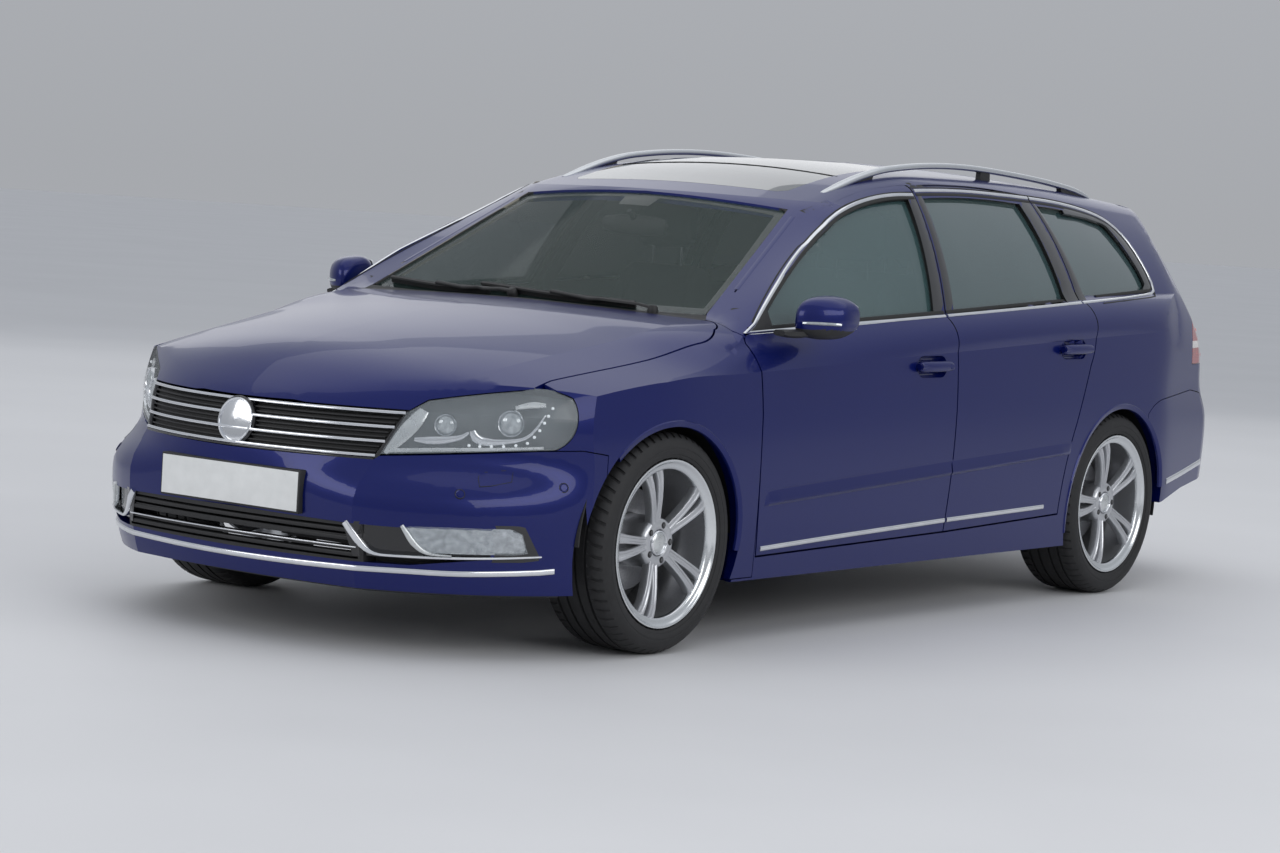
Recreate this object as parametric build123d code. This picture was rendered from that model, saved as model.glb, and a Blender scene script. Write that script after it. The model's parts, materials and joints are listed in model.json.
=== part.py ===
from build123d import *
import os
from math import cos, radians, sin

# Station wagon. X forward, Y to the car's left, Z up, millimetres.
# Origin: middle of the bounding box's bottom face, which is the ground under the tyres.

os.makedirs("parts", exist_ok=True)

# ---------------------------------------------------------------- driving sizes

nose_x = 2385.5
tail_x = -2385.5
front_axle_x = 1495
rear_axle_x = -1216
wheel_plane_y = 780
tyre_radius = 322.5
tyre_width = 235
rim_radius = 246
seat_radius = 228

shut_gap = 6
fixed_gap = 3
seat_clearance = 0.3
rest_gap = 0.3
door_thickness = 70
frame_thickness = 30
pillar_depth = 62
roof_thickness = 38
panel_thickness = 28
bumper_thickness = 45
glass_depth = 12
glass_thickness = 5

underside_z = 190
floor_z = 250
floor_thickness = 30
cabin_half_width = 765
cabin_top_z = 930
firewall_x = 1150
firewall_thickness = 40

arch_radius = 357
liner_radius = 381
liner_thickness = 5
liner_outer_y = 862
liner_inner_y = 470
grille_bars = 6
grille_bar_height = 9
grille_low_z = 551
grille_top_z = 680
grille_rib_ys = (110, 220, 330)
boss_radius = 62
boss_z = 617
intake_split_y = 452
hatch_front_x = -1780
lamp_inner_y = 560
door_land = 35
handle_length = 196
handle_radius = 12
handle_y = 916
dish_radius = 42
dish_y = 924
front_handle_x = 106
front_handle_z = 825
rear_handle_x = -834
rear_handle_z = 877
bonnet_land = 30
roof_glass_thickness = 6
cowl_low_z = 880

knuckle_y = 690
strut_y = 612
screen_margin = 30
roof_margin = 14
hub_face_y = 745
spoke_count = 5
rear_liner_y = 640
tank_floor_z = 400
load_floor_z = 620
tunnel_half_width = 130
tunnel_z = 400
seat_beam_xs = (60, 420)
rail_y = 528
rail_width = 34
exhaust_y = 60
exhaust_z = 180
exhaust_radius = 27
silencer_z = 420
lamp_low_z = 812
lamp_high_z = 994
mirror_foot_x = 955
mirror_foot_z = 925
dash_half_width = 700
column_angle = 24
steering_x = 470
steering_y = 370
steering_z = 800
steering_radius = 185

# ---------------------------------------------------------------- body sections
# Half sections across the car. Below the belt: ridge height, brow point, mid point of
# the shoulder arc, crease point, widest half width, half width at the sill.
TUB = (
    # x, ridge_z, brow_y, brow_z, mid_y, mid_z, crease_y, crease_z, waist_y, sill_y
    (2400, 645, 430, 575, 600, 530, 880, 455, 898, 880),
    (2180, 802, 500, 730, 650, 697, 885, 640, 903, 882),
    (1930, 872, 590, 808, 745, 768, 888, 722, 905, 884),
    (1500, 940, 650, 888, 790, 842, 897, 797, 908, 885),
    (1079, 976, 690, 955, 815, 915, 898, 815, 910, 885),
    (0, 1010, 790, 1004, 862, 977, 898, 867, 910, 885),
    (-1216, 1075, 770, 1068, 852, 1042, 894, 924, 910, 885),
    (-2400, 1095, 700, 1080, 800, 1050, 872, 965, 900, 875),
)
# Above the belt: roof height, roof edge, gutter, mid point of the glass arc, foot.
GLASSHOUSE = (
    # x, roof_z, edge_y, edge_z, gutter_y, gutter_z, mid_y, mid_z, foot_y
    (1250, 1150, 560, 1115, 715, 1085, 786, 985, 838),
    (440, 1345, 540, 1312, 655, 1288, 772, 1110, 872),
    (0, 1443, 540, 1408, 640, 1370, 792, 1130, 884),
    (-400, 1470, 540, 1436, 632, 1392, 796, 1140, 884),
    (-1216, 1457, 530, 1423, 625, 1375, 782, 1150, 876),
    (-2400, 1375, 470, 1345, 560, 1295, 720, 1120, 846),
)
glasshouse_foot_z = 880
# Plans of the nose, the windscreen with its pillars, and the tail, one per height:
# centre, end of the wide arc, end of the corner arc, and how sharply the corner turns in.
NOSE = (
    # z, centre_x, edge_x, edge_y, corner_x, corner_y, turn
    (150, 2325, 2285, 420, 1800, 848, 14),
    (250, 2362, 2322, 425, 1818, 862, 14),
    (441, nose_x, 2345, 430, 1833, 869, 14),
    (553, 2383, 2270, 441, 1840, 872, 8),
    (681, 2347, 2199, 487, 1852, 868, 0),
    (850, 2200, 2060, 500, 1800, 860, 0),
    (1100, 2050, 1920, 500, 1650, 880, 0),
)
nose_side = (1150, 945)
SCREEN = (
    # z, centre_x, edge_x, edge_y, corner_x, corner_y, turn
    (860, 1315, 1252, 719, 1150, 880, 0),
    (958, 1143, 1070, 678, 1015, 836, 0),
    (1100, 893, 806, 619, 775, 757, 0),
    (1303, 537, 428, 535, 330, 655, 0),
    (1500, 192, 61, 453, -120, 600, 0),
)
screen_side = (-300, 1050)
TAIL = (
    # z, centre_x, edge_x, edge_y, corner_x, corner_y, turn
    (150, -2320, -2240, 540, -1990, 792, 0),
    (300, -2365, -2286, 555, -2030, 806, 0),
    (450, tail_x, -2306, 560, -2050, 810, 0),
    (610, -2382, -2303, 560, -2048, 812, 0),
    (720, -2330, -2252, 556, -2000, 806, 0),
    (900, -2290, -2214, 552, -1975, 800, 0),
    (1090, -2150, -2076, 525, -1866, 752, 0),
    (1400, -1930, -1872, 470, -1750, 590, 0),
    (1500, -1860, -1806, 450, -1700, 545, 0),
)
tail_side = (-1250, 965)


def on_x(x, *points):
    """Points of a section plane across the car, given as y, z pairs."""
    return [Vector(x, y, z) for y, z in points]


def on_z(z, *points):
    """Points of a plan plane, given as x, y pairs."""
    return [Vector(x, y, z) for x, y in points]


def closed_face(*edges):
    return Face(Wire(edges))


def between(table, cuts=2):
    """The table's rows with more between them, on a smooth curve through every column."""
    rows = []
    for i in range(len(table) - 1):
        near = table[max(i - 1, 0)], table[i], table[i + 1], table[min(i + 2, len(table) - 1)]
        for k in range(cuts):
            t = k / cuts
            rows.append(tuple(
                0.5 * (2 * b + (c - a) * t + (2 * a - 5 * b + 4 * c - d) * t**2
                       + (3 * b - a - 3 * c + d) * t**3)
                for a, b, c, d in zip(*near)
            ))
    rows.append(table[-1])
    return rows


def tub(inset, top_inset, floor_inset):
    """Left half of the body below the belt, each wall moved in by its inset."""
    sections = []
    for x, ridge_z, brow_y, brow_z, mid_y, mid_z, crease_y, crease_z, waist_y, sill_y in between(TUB):
        down = top_inset
        low_z = underside_z + floor_inset
        g, p, m, e, c, b, a = on_x(
            x,
            (0, ridge_z - down),
            (brow_y - inset / 2, brow_z - down),
            (mid_y - inset * 0.8, mid_z - down * 0.8),
            (crease_y - inset, crease_z - down / 2),
            (waist_y - inset, 600),
            (sill_y - inset, low_z),
            (0, low_z),
        )
        sections.append(closed_face(
            TangentArc(g, p, tangent=(0, 1, 0)),
            ThreePointArc(p, m, e),
            ThreePointArc(e, c, b),
            Line(b, a),
            Line(a, g),
        ))
    return loft(sections, ruled=True)


def glasshouse(inset, roof_inset):
    """Left half of the body above the belt."""
    sections = []
    for x, roof_z, edge_y, edge_z, gutter_y, gutter_z, mid_y, mid_z, foot_y in between(GLASSHOUSE):
        g, q, s, m, t, a = on_x(
            x,
            (0, roof_z - roof_inset),
            (edge_y - inset / 2, edge_z - roof_inset),
            (gutter_y - inset, gutter_z - roof_inset * 0.8),
            (mid_y - inset, mid_z - roof_inset / 2),
            (foot_y - inset, glasshouse_foot_z),
            (0, glasshouse_foot_z),
        )
        roof = TangentArc(g, q, tangent=(0, 1, 0))
        sections.append(closed_face(
            roof,
            TangentArc(q, s, tangent=roof % 1),
            ThreePointArc(s, m, t),
            Line(t, a),
            Line(a, g),
        ))
    return loft(sections, ruled=True)


def plan_clip(table, inset, side, far_x):
    """What lies behind a nose, screen or tail surface, given by plans at several heights."""
    sections = []
    step = inset if far_x < 0 else -inset
    for z, centre_x, edge_x, edge_y, corner_x, corner_y, turn in table:
        far, g, e, s, r, w = on_z(
            z,
            (far_x, 0),
            (centre_x - step, 0),
            (edge_x - step, edge_y - inset * 0.3),
            (corner_x - step * 0.5, corner_y - inset),
            (side[0], side[1] - inset),
            (far_x, 1100),
        )
        wide = TangentArc(g, e, tangent=(0, 1, 0))
        sections.append(closed_face(
            Line(far, g),
            wide,
            TangentArc(e, s, tangent=(wide % 1).rotate(Axis.Z, turn)),
            Line(s, r),
            Line(r, w),
            Line(w, far),
        ))
    return loft(sections, ruled=True)


def lower_body(inset, top_inset=None, floor_inset=0, end_inset=None):
    top_inset = inset if top_inset is None else top_inset
    end_inset = inset if end_inset is None else end_inset
    solid = tub(inset, top_inset, floor_inset)
    solid = solid & plan_clip(NOSE, end_inset, nose_side, -2700)
    return solid & plan_clip(TAIL, end_inset, tail_side, 2700)


def upper_body(inset, roof_inset=None, end_inset=None):
    roof_inset = inset if roof_inset is None else roof_inset
    end_inset = inset if end_inset is None else end_inset
    solid = glasshouse(inset, roof_inset)
    solid = solid & plan_clip(SCREEN, end_inset, screen_side, -2700)
    return solid & plan_clip(TAIL, end_inset, tail_side, 2700)


def outlined(place, edges):
    """A closed outline: each edge is its points, two for a line and three for an arc."""
    made = []
    for i, points in enumerate(edges):
        end = edges[(i + 1) % len(edges)][0]
        corners = [place(*p) for p in points] + [place(*end)]
        made.append(Line(*corners) if len(corners) == 2 else ThreePointArc(*corners))
    return Face(Wire(made))


def along_y(edges, low=300, high=1150):
    """A prism through the side of the car, its outline given as x, z."""
    face = outlined(lambda x, z: Vector(x, low, z), edges)
    return extrude(face, amount=high - low, dir=(0, 1, 0))


def along_x(edges, low, high):
    """A prism along the car, its outline given as y, z."""
    face = outlined(lambda y, z: Vector(low, y, z), edges)
    return extrude(face, amount=high - low, dir=(1, 0, 0))


def along_z(edges, low=0, high=1700):
    """A prism standing up, its outline given as x, y."""
    face = outlined(lambda x, y: Vector(x, y, low), edges)
    return extrude(face, amount=high - low, dir=(0, 0, 1))


def block(low, high):
    """A box from its lowest to its highest corner."""
    size = [b - a for a, b in zip(low, high)]
    middle = [(a + b) / 2 for a, b in zip(low, high)]
    return Pos(*middle) * Box(*size)


def rod(start, end, radius):
    """A round bar from one point to another."""
    plane = Plane(origin=start, z_dir=Vector(*end) - Vector(*start))
    return extrude(plane * Circle(radius), amount=(Vector(*end) - Vector(*start)).length)


def disc(x, z, radius, low, high):
    """A round of a given radius about a line across the car."""
    return rod((x, low, z), (x, high, z), radius)


def solids_of(shape):
    return list(shape.solids())


def biggest(shape):
    return max(solids_of(shape), key=lambda solid: solid.volume)


def whole(half):
    """A centre piece from its left half."""
    return half + mirror(half, about=Plane.XZ)


def both_sides(*lefts):
    """Left and right pieces of one node."""
    return [s for left in lefts for s in solids_of(left) + solids_of(mirror(left, about=Plane.XZ))]


def save(name, shapes):
    shapes = shapes if isinstance(shapes, list) else solids_of(shapes)
    export_step(Compound(shapes) if len(shapes) > 1 else shapes[0], f"parts/{name}.step")


# ---------------------------------------------------------------- outlines

g = shut_gap / 2
# Side outlines, x and z.
FRONT_DOOR = [
    [(1042 - g, 264), (1066 - g, 480)],
    [(1069 - g, 690), (1077 - g, 800)],
    [(1085, 905), (792, 1108)],
    [(336, 1313), (98, 1369)],
    [(-128 + g, 1393)],
    [(-34 + g, 983), (-52 + g, 900)],
    [(-57 + g, 800)],
    [(-57 + g, 677), (-50 + g, 480)],
    [(-42 + g, 284)],
]
REAR_DOOR = [
    [(-42 - g, 284), (-50 - g, 480)],
    [(-57 - g, 677)],
    [(-57 - g, 800), (-52 - g, 900)],
    [(-34 - g, 983)],
    [(-128 - g, 1393), (-520, 1405)],
    [(-905, 1386)],
    [(-946, 1052), (-962, 1044)],
    [(-972, 1034), (-996, 935)],
    [(-959, 825)],
    [(-870, 616), (-820, 480)],
    [(-800, 308)],
]
FRONT_GLASS = [
    [(1010, 940), (775, 1088)],
    [(345, 1286), (130, 1338)],
    [(-78, 1357)],
    [(30, 976)],
]
REAR_GLASS = [
    [(-84, 982)],
    [(-165, 1360), (-480, 1371)],
    [(-820, 1362)],
    [(-862, 1030)],
]
QUARTER_GLASS = [
    [(-1000, 1047)],
    [(-928, 1358), (-1180, 1346)],
    [(-1440, 1312)],
    [(-1530, 1160), (-1545, 1100)],
    [(-1500, 1078)],
]
FENDER = [
    [(1042 + g, 200), (1066 + g, 480)],
    [(1069 + g, 690), (1077 + g, 800)],
    [(1091, 905)],
    [(1091, 1010)],
    [(1910, 1010)],
    [(1913, 742)],
    [(1925, 690)],
    [(1958, 594)],
    [(1868, 600)],
    [(1785, 587)],
    [(1785, 200)],
]
REAR_BUMPER = [
    [(-1405, 285)],
    [(-1414, 640), (-1480, 680)],
    [(-1547, 693)],
    [(-1886, 713)],
    [(-2010, 700)],
    [(-2100, 648)],
    [(-2600, 648)],
    [(-2600, 388)],
    [(-2190, 385)],
    [(-1823, 352)],
]
# What is left open below the rear bumper.
# Room the doors and the tailgate need as they swing, one row per height.
# Side frame behind the front door's window frame: what the frame passes on its way out.
PILLAR_SWING = (
    # z, near_x, low_y
    (885, 1082, 760),
    (915, 1080, 756),
    (950, 1031, 704),
    (1000, 943, 667),
    (1100, 757, 627),
    (1200, 567, 584),
    (1262, 451, 557),
)
# Rear edges of the doors: cut back on the inside.
FRONT_DOOR_EDGE = (
    # z, edge_x, outer_y, inner_y, cut
    (983, -31, 880, 812, 3),
    (1100, -58, 812, 768, 7),
    (1200, -81, 766, 712, 11),
    (1300, -104, 706, 640, 15),
    (1395, -126, 642, 570, 20),
)
REAR_DOOR_EDGE = (
    (930, -998, 890, 833, 3),
    (1000, -988, 878, 812, 6),
    (1050, -953, 829, 794, 9),
    (1100, -941, 809, 772, 12),
    (1200, -929, 763, 717, 18),
    (1300, -917, 700, 645, 25),
    (1340, -912, 672, 608, 29),
    (1395, -906, 634, 570, 34),
)
# Side edges of the tailgate: narrower on the inside.
TAILGATE_EDGE = (
    # z, edge_x, edge_y
    (988, -2059, 690),
    (1000, -2052, 689),
    (1100, -1996, 656),
    (1170, -1957, 632),
    (1250, -1921, 591),
    (1371, -1868, 530),
    (1440, -1790, 520),
)
UNDER_TAIL = [
    [(-1500, 100)],
    [(-1500, 303)],
    [(-1823, 355)],
    [(-2190, 388)],
    [(-2700, 391)],
    [(-2700, 100)],
]
# Plan outlines, x and y.
BONNET = [
    [(1162, 0), (1146, 400)],
    [(1098, 690), (1100, 725)],
    [(1150, 762), (1200, 788)],
    [(1280, 795), (1600, 770)],
    [(1880, 728)],
    [(1960, 730), (2085, 645)],
    [(2200, 500)],
    [(2208, 470)],
    [(2480, 470)],
    [(2480, 0)],
]
SCREEN_GLASS = [
    [(1122, 0), (1102, 400)],
    [(1052, 665), (745, 597)],
    [(442, 528), (482, 280)],
    [(494, 0)],
]
# Outlines from ahead or behind, y and z.
TAILGATE = [
    [(0, 652)],
    [(600, 656)],
    [(660, 700), (694, 850)],
    [(690, 1000)],
    [(632, 1170)],
    [(530, 1370)],
    [(500, 1600)],
    [(0, 1600)],
]
TAILGATE_GLASS = [
    [(0, 1072)],
    [(560, 1080)],
    [(575, 1110)],
    [(462, 1310)],
    [(440, 1325)],
    [(0, 1340)],
]
GRILLE = [
    [(0, 546)],
    [(436, 549)],
    [(446, 560)],
    [(489, 672)],
    [(482, 681)],
    [(0, 684)],
]
INTAKE = [
    [(0, 262)],
    [(560, 266)],
    [(722, 292)],
    [(728, 345)],
    [(640, 370)],
    [(0, 376)],
]
FRONT_BUMPER = [
    [(1785 + fixed_gap, 150)],
    [(1785 + fixed_gap, 584)],
    [(1868, 597)],
    [(1958, 591)],
    [(2268, 556)],
    [(2600, 545)],
    [(2600, 150)],
]
ROOF = [
    [(hatch_front_x + shut_gap, 0)],
    [(hatch_front_x + shut_gap, 548), (-600, 572)],
    [(250, 568), (360, 560)],
    [(424, 538), (478, 280)],
    [(492, 0)],
]
GLASS_ROOF = [
    [(-430, 0)],
    [(-430, 410)],
    [(-410, 430)],
    [(300, 430)],
    [(330, 405), (352, 200)],
    [(356, 0)],
]
COWL = [
    [(1124, 0), (1104, 400)],
    [(1054, 668)],
    [(1092, 690), (1140, 400)],
    [(1156, 0)],
]
COWL_CUT = [
    [(900, 0)],
    [(900, 600)],
    [(1056, 668)],
    [(1094, 690)],
    [(1200, 690)],
    [(1200, 0)],
]
# The raised line along the lower doors: foot, top and how far out its crest lies.
RIB = (
    # x, low_z, high_z, crest_y
    (1040, 415, 460, 906),
    (960, 421, 464, 917),
    (-45, 474, 518, 917.5),
    (-780, 515, 553, 916),
    (-850, 519, 556, 906),
)
# Door mirror sections, from the door outwards.
MIRROR = (
    # y, front_x, rear_x, low_z, high_z
    (878, 905, 800, 930, 1000),
    (905, 935, 775, 918, 1046),
    (950, 925, 752, 915, 1052),
    (1000, 890, 748, 928, 1044),
    (1031, 850, 758, 952, 1022),
)
# Roof rail in side view, and the gaps below it between its feet.
RAIL = [
    [(252, 1352), (70, 1420)],
    [(-180, 1472), (-390, 1490)],
    [(-640, 1495), (-1000, 1485)],
    [(-1330, 1455), (-1450, 1438)],
    [(-1566, 1408)],
    [(-1500, 1380)],
    [(200, 1330)],
]
RAIL_GAPS = (
    [
        [(-60, 1300)],
        [(-60, 1426), (-220, 1449)],
        [(-400, 1470), (-560, 1474)],
        [(-735, 1473)],
        [(-735, 1300)],
    ],
    [
        [(-805, 1300)],
        [(-805, 1472), (-1060, 1462)],
        [(-1320, 1437)],
        [(-1320, 1300)],
    ],
)
DASH = [
    [(1109.7, 560)],
    [(1109.7, 872)],
    [(1044, 876)],
    [(1036, 925)],
    [(860, 922), (800, 893)],
    [(770, 840)],
    [(800, 700)],
    [(900, 600)],
]
SEAT_CUSHION = [[(480, 440)], [(490, 540)], [(440, 560)], [(0, 520)], [(-20, 420)]]
SEAT_BACK = [[(20, 430)], [(-20, 540)], [(-150, 1110)], [(-240, 1110)], [(-130, 520)], [(-80, 430)]]
SEAT_HEAD = [[(-150, 1100)], [(-140, 1290), (-170, 1320)], [(-215, 1310)], [(-230, 1100)]]
SEAT_FEET = [[(440, 295.3)], [(440, 441)], [(0, 441)], [(40, 295.3)]]
BENCH_CUSHION = [
    [(-450, tank_floor_z + 20)],
    [(-440, 560)],
    [(-500, 585)],
    [(-950, 545)],
    [(-980, tank_floor_z + rest_gap)],
    [(-640, tank_floor_z + rest_gap)],
]
BENCH_BACK = [[(-900, 540)], [(-1060, 1120)], [(-1160, 1110)], [(-1035, 640)], [(-985, 540)]]
BENCH_HEAD = [[(-1062, 1110)], [(-1068, 1280), (-1090, 1300)], [(-1130, 1295)], [(-1150, 1105)]]
# Headlamp outline in its own slanted plane: along the plane, height.
HEADLAMP = [
    [(-1112, 562)],
    [(-1044, 678)],
    [(-985, 713), (-860, 735)],
    [(-695, 758), (-632, 754)],
    [(-588, 740), (-575, 715)],
    [(-630, 597)],
]
lamp_angle = 40
TAIL_LAMP = [
    [(-1893, lamp_low_z)],
    [(-1895, 840), (-1922, 930)],
    [(-1985, lamp_high_z)],
    [(-2600, lamp_high_z)],
    [(-2600, lamp_low_z)],
]


def slanted(edges, low, high):
    """A prism through the car's front corner, its outline along the corner and height."""
    c = cos(radians(lamp_angle))
    s = sin(radians(lamp_angle))
    face = outlined(lambda t, z: Vector(low * c - t * s, low * s + t * c, z), edges)
    return extrude(face, amount=high - low, dir=(c, s, 0))


def heading(edge, end, at_end):
    """Unit direction of an outline's edge at its start or its end, as a complex number."""
    start = complex(*edge[0])
    end = complex(*end)
    chord = end - start
    if len(edge) == 2:
        middle = complex(*edge[1])
        # By the tangent and chord rule, an arc turns away from its chord as its halves do.
        bend = (middle - start) / (end - middle)
        chord = chord / bend if at_end else chord * bend
    return chord / abs(chord)


def moved_out(edges, amount):
    """The outline moved out by an amount, or in by a negative one."""
    corners = [complex(*edge[0]) for edge in edges]
    area = sum((p.conjugate() * q).imag for p, q in zip(corners, corners[1:] + corners[:1]))
    outward = (-1j if area > 0 else 1j) * amount
    result = []
    for i, edge in enumerate(edges):
        before = edges[i - 1]
        after = edges[(i + 1) % len(edges)]
        into = heading(before, edge[0], True)
        out = heading(edge, after[0], False)
        miter = (into + out) / abs(into + out)
        corner = complex(*edge[0]) + outward * miter / max((miter / out).real, 0.5)
        # What lies on the car's centreline stays on it.
        points = [(corner.real if edge[0][0] else 0, corner.imag if edge[0][1] else 0)]
        if len(edge) == 2:
            chord = complex(*after[0]) - complex(*edge[0])
            middle = complex(*edge[1]) + outward * chord / abs(chord)
            points.append((middle.real, middle.imag))
        result.append(points)
    return result


def grown_y(edges, amount, low=300, high=1150):
    return along_y(moved_out(edges, amount), low, high)


def grown_x(edges, amount, low, high):
    return along_x(moved_out(edges, amount), low, high)


def grown_z(edges, amount, low=0, high=1700):
    return along_z(moved_out(edges, amount), low, high)


def grown_slant(edges, amount, low, high):
    return slanted(moved_out(edges, amount), low, high)


# ---------------------------------------------------------------- body shells

outer = lower_body(0) + upper_body(0)
inner = (
    lower_body(door_thickness, panel_thickness, -10, bumper_thickness)
    + upper_body(frame_thickness, roof_thickness, bumper_thickness)
)
rest = seat_clearance
seat = (
    lower_body(door_thickness + rest, panel_thickness + rest, -12, bumper_thickness + rest)
    + upper_body(frame_thickness + rest, roof_thickness + rest, bumper_thickness + rest)
)
cabin = (
    upper_body(pillar_depth, roof_thickness, pillar_depth)
    + block((-1880, -1, 100), (firewall_x, cabin_half_width, cabin_top_z))
    + block((-2110, -1, 100), (-1800, 600, cabin_top_z))
)
pane = upper_body(glass_depth) - upper_body(glass_depth + glass_thickness)
skin = outer - inner

# ---------------------------------------------------------------- doors and glass

pillar_strip = grown_z(SCREEN_GLASS, screen_margin) + grown_z(ROOF, roof_margin)
door_limit = grown_z(SCREEN_GLASS, screen_margin + shut_gap) + grown_z(ROOF, roof_margin + shut_gap)
front_door = skin & along_y(FRONT_DOOR) - door_limit - grown_y(FRONT_GLASS, rest)
rear_door = skin & along_y(REAR_DOOR) - door_limit - grown_y(REAR_GLASS, rest)
front_glass = pane & along_y(FRONT_GLASS)
rear_glass = pane & along_y(REAR_GLASS)
quarter_glass = pane & along_y(QUARTER_GLASS)
screen_glass = pane & along_z(SCREEN_GLASS)
tail_glass = pane & along_x(TAILGATE_GLASS, -2500, -1600)


def at_heights(rows, corners):
    """A solid lofted through flat sections, their corners found from each row."""
    sections = []
    for row in rows:
        points = [(x, y, row[0]) for x, y in corners(*row[1:])]
        sections.append(closed_face(*Polyline(*points, close=True).edges()))
    return loft(sections, ruled=True)


def pillar_corners(near_x, low_y):
    return (near_x, low_y), (near_x, 1000), (near_x - 75, 1000), (near_x - 75, low_y)


def door_edge_corners(edge_x, outer_y, inner_y, cut):
    back_x = edge_x - 30
    return (edge_x, outer_y - 4), (edge_x + cut, inner_y - 5), (back_x, inner_y - 5), (back_x, outer_y - 4)


def tailgate_edge_corners(edge_x, edge_y):
    far_x = edge_x + 130
    return (edge_x + 6, edge_y), (far_x, edge_y - 40), (far_x, edge_y + 12), (edge_x + 6, edge_y + 12)


def door_rib():
    """The raised line along the lower doors, fading out at both ends."""
    sections = []
    for x, low_z, high_z, crest_y in RIB:
        sections.append(closed_face(*Polyline(
            *on_x(x, (880, low_z - 5), (crest_y, low_z + 4), (909.4, high_z), (880, high_z + 5)), close=True
        ).edges()))
    return loft(sections, ruled=True)


def door_handle(x, z):
    """The dish behind a door's handle, and the grip with its two feet."""
    reach = handle_length / 2
    dish = rod((x - reach + dish_radius, dish_y, z), (x + reach - dish_radius, dish_y, z), dish_radius)
    for end_x in (x - reach + dish_radius, x + reach - dish_radius):
        dish = dish + Pos(end_x, dish_y, z) * Sphere(dish_radius)
    grip = rod((x - reach, handle_y, z), (x + reach, handle_y, z), handle_radius)
    for end_x in (x - reach + 9, x + reach - 9):
        grip = grip + rod((end_x, 880, z), (end_x, handle_y, z), handle_radius - 1)
    return dish, grip


rib = door_rib()
for_front = along_y(FRONT_DOOR, 850)
for_rear = along_y(REAR_DOOR, 850)
dish, grip = door_handle(front_handle_x, front_handle_z)
front_door = front_door - dish + grip + (rib & for_front)
front_door = front_door - at_heights(FRONT_DOOR_EDGE, door_edge_corners)
dish, grip = door_handle(rear_handle_x, rear_handle_z)
rear_door = rear_door - dish + grip + (rib & for_rear)
rear_door = rear_door - at_heights(REAR_DOOR_EDGE, door_edge_corners)

# ---------------------------------------------------------------- outer panels

arch_cuts = {}
for axle_x in (front_axle_x, rear_axle_x):
    arch_cuts[axle_x] = (
        disc(axle_x, tyre_radius, arch_radius, 600, 1200)
        + disc(axle_x, tyre_radius, liner_radius + liner_thickness + rest, 500, liner_outer_y + rest)
    )
bonnet_edge_z = 686
lamp_hole = grown_slant(HEADLAMP, fixed_gap, 1500, 2400)
bonnet = skin & along_z(BONNET, bonnet_edge_z, 1200) - lamp_hole
headlamp = skin & slanted(HEADLAMP, 1500, 2400)
fender = skin & along_y(FENDER) - grown_z(BONNET, shut_gap, bonnet_edge_z - 200)
fender = fender - lamp_hole - arch_cuts[front_axle_x]
front_bumper = skin & along_y(FRONT_BUMPER, -10, 1150)
front_bumper = front_bumper - lamp_hole - arch_cuts[front_axle_x]
front_bumper = front_bumper - grown_x(GRILLE, fixed_gap, 1700, 2600) - along_x(INTAKE, 1600, 2600)
grille = skin & along_x(GRILLE, 2050, 2600) - lamp_hole
pitch = (grille_top_z - grille_low_z) / (grille_bars - 1)
for i in range(grille_bars - 1):
    low_z = grille_low_z + i * pitch + grille_bar_height / 2
    high_z = low_z + pitch - grille_bar_height
    share = (low_z + high_z - 2 * grille_low_z) / 2 / (grille_top_z - grille_low_z)
    end_y = 425 + 48 * share
    slot = block((2000, -10, low_z), (2600, end_y, high_z))
    for rib_y in grille_rib_ys:
        slot = slot - block((2000, rib_y - 3, low_z - 1), (2600, rib_y + 3, high_z + 1))
    grille = grille - slot
front_of_boss = rod((2250, 0, boss_z), (nose_x - 2, 0, boss_z), boss_radius)
grille = grille + front_of_boss & block((2000, 0, 0), (2600, 700, 900)) - inner
intake = skin & along_x(INTAKE, 1600, 2600)
lower_grille = intake & block((2000, -10, 200), (2600, intake_split_y, 500))
for i in range(3):
    low_z = 272 + i * 33
    lower_grille = lower_grille - block((2000, -10, low_z), (2600, intake_split_y - 14, low_z + 25))
fog_lamp = intake & block((1500, intake_split_y + fixed_gap, 200), (2600, 900, 500))
roof_region = along_z(ROOF, 1250, 1700)
roof_panel = (outer - cabin) & roof_region - along_z(GLASS_ROOF)
roof_panel = roof_panel - grown_z(SCREEN_GLASS, rest)
roof_glass = (outer - upper_body(roof_glass_thickness)) & grown_z(GLASS_ROOF, -rest, 1250, 1700)
tailgate = skin & along_x(TAILGATE, -2700, hatch_front_x)
tailgate_lamp = tailgate & block((-2700, lamp_inner_y, lamp_low_z), (-1900, 900, lamp_high_z))
tailgate = tailgate - block(
    (-2700, lamp_inner_y - rest, lamp_low_z - rest),
    (-1900, 900, lamp_high_z + rest),
)
tailgate = tailgate - grown_x(TAILGATE_GLASS, rest, -2500, -1600)
tailgate = tailgate - at_heights(TAILGATE_EDGE, tailgate_edge_corners)
rear_bumper = skin & along_y(REAR_BUMPER, -10, 1150) - arch_cuts[rear_axle_x]
rear_bumper = rear_bumper - grown_x(TAILGATE, shut_gap, -2700, hatch_front_x)
tail_lamp = skin & along_y(TAIL_LAMP) - grown_x(TAILGATE, shut_gap, -2700, hatch_front_x)

# ---------------------------------------------------------------- body side and cowl

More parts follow.
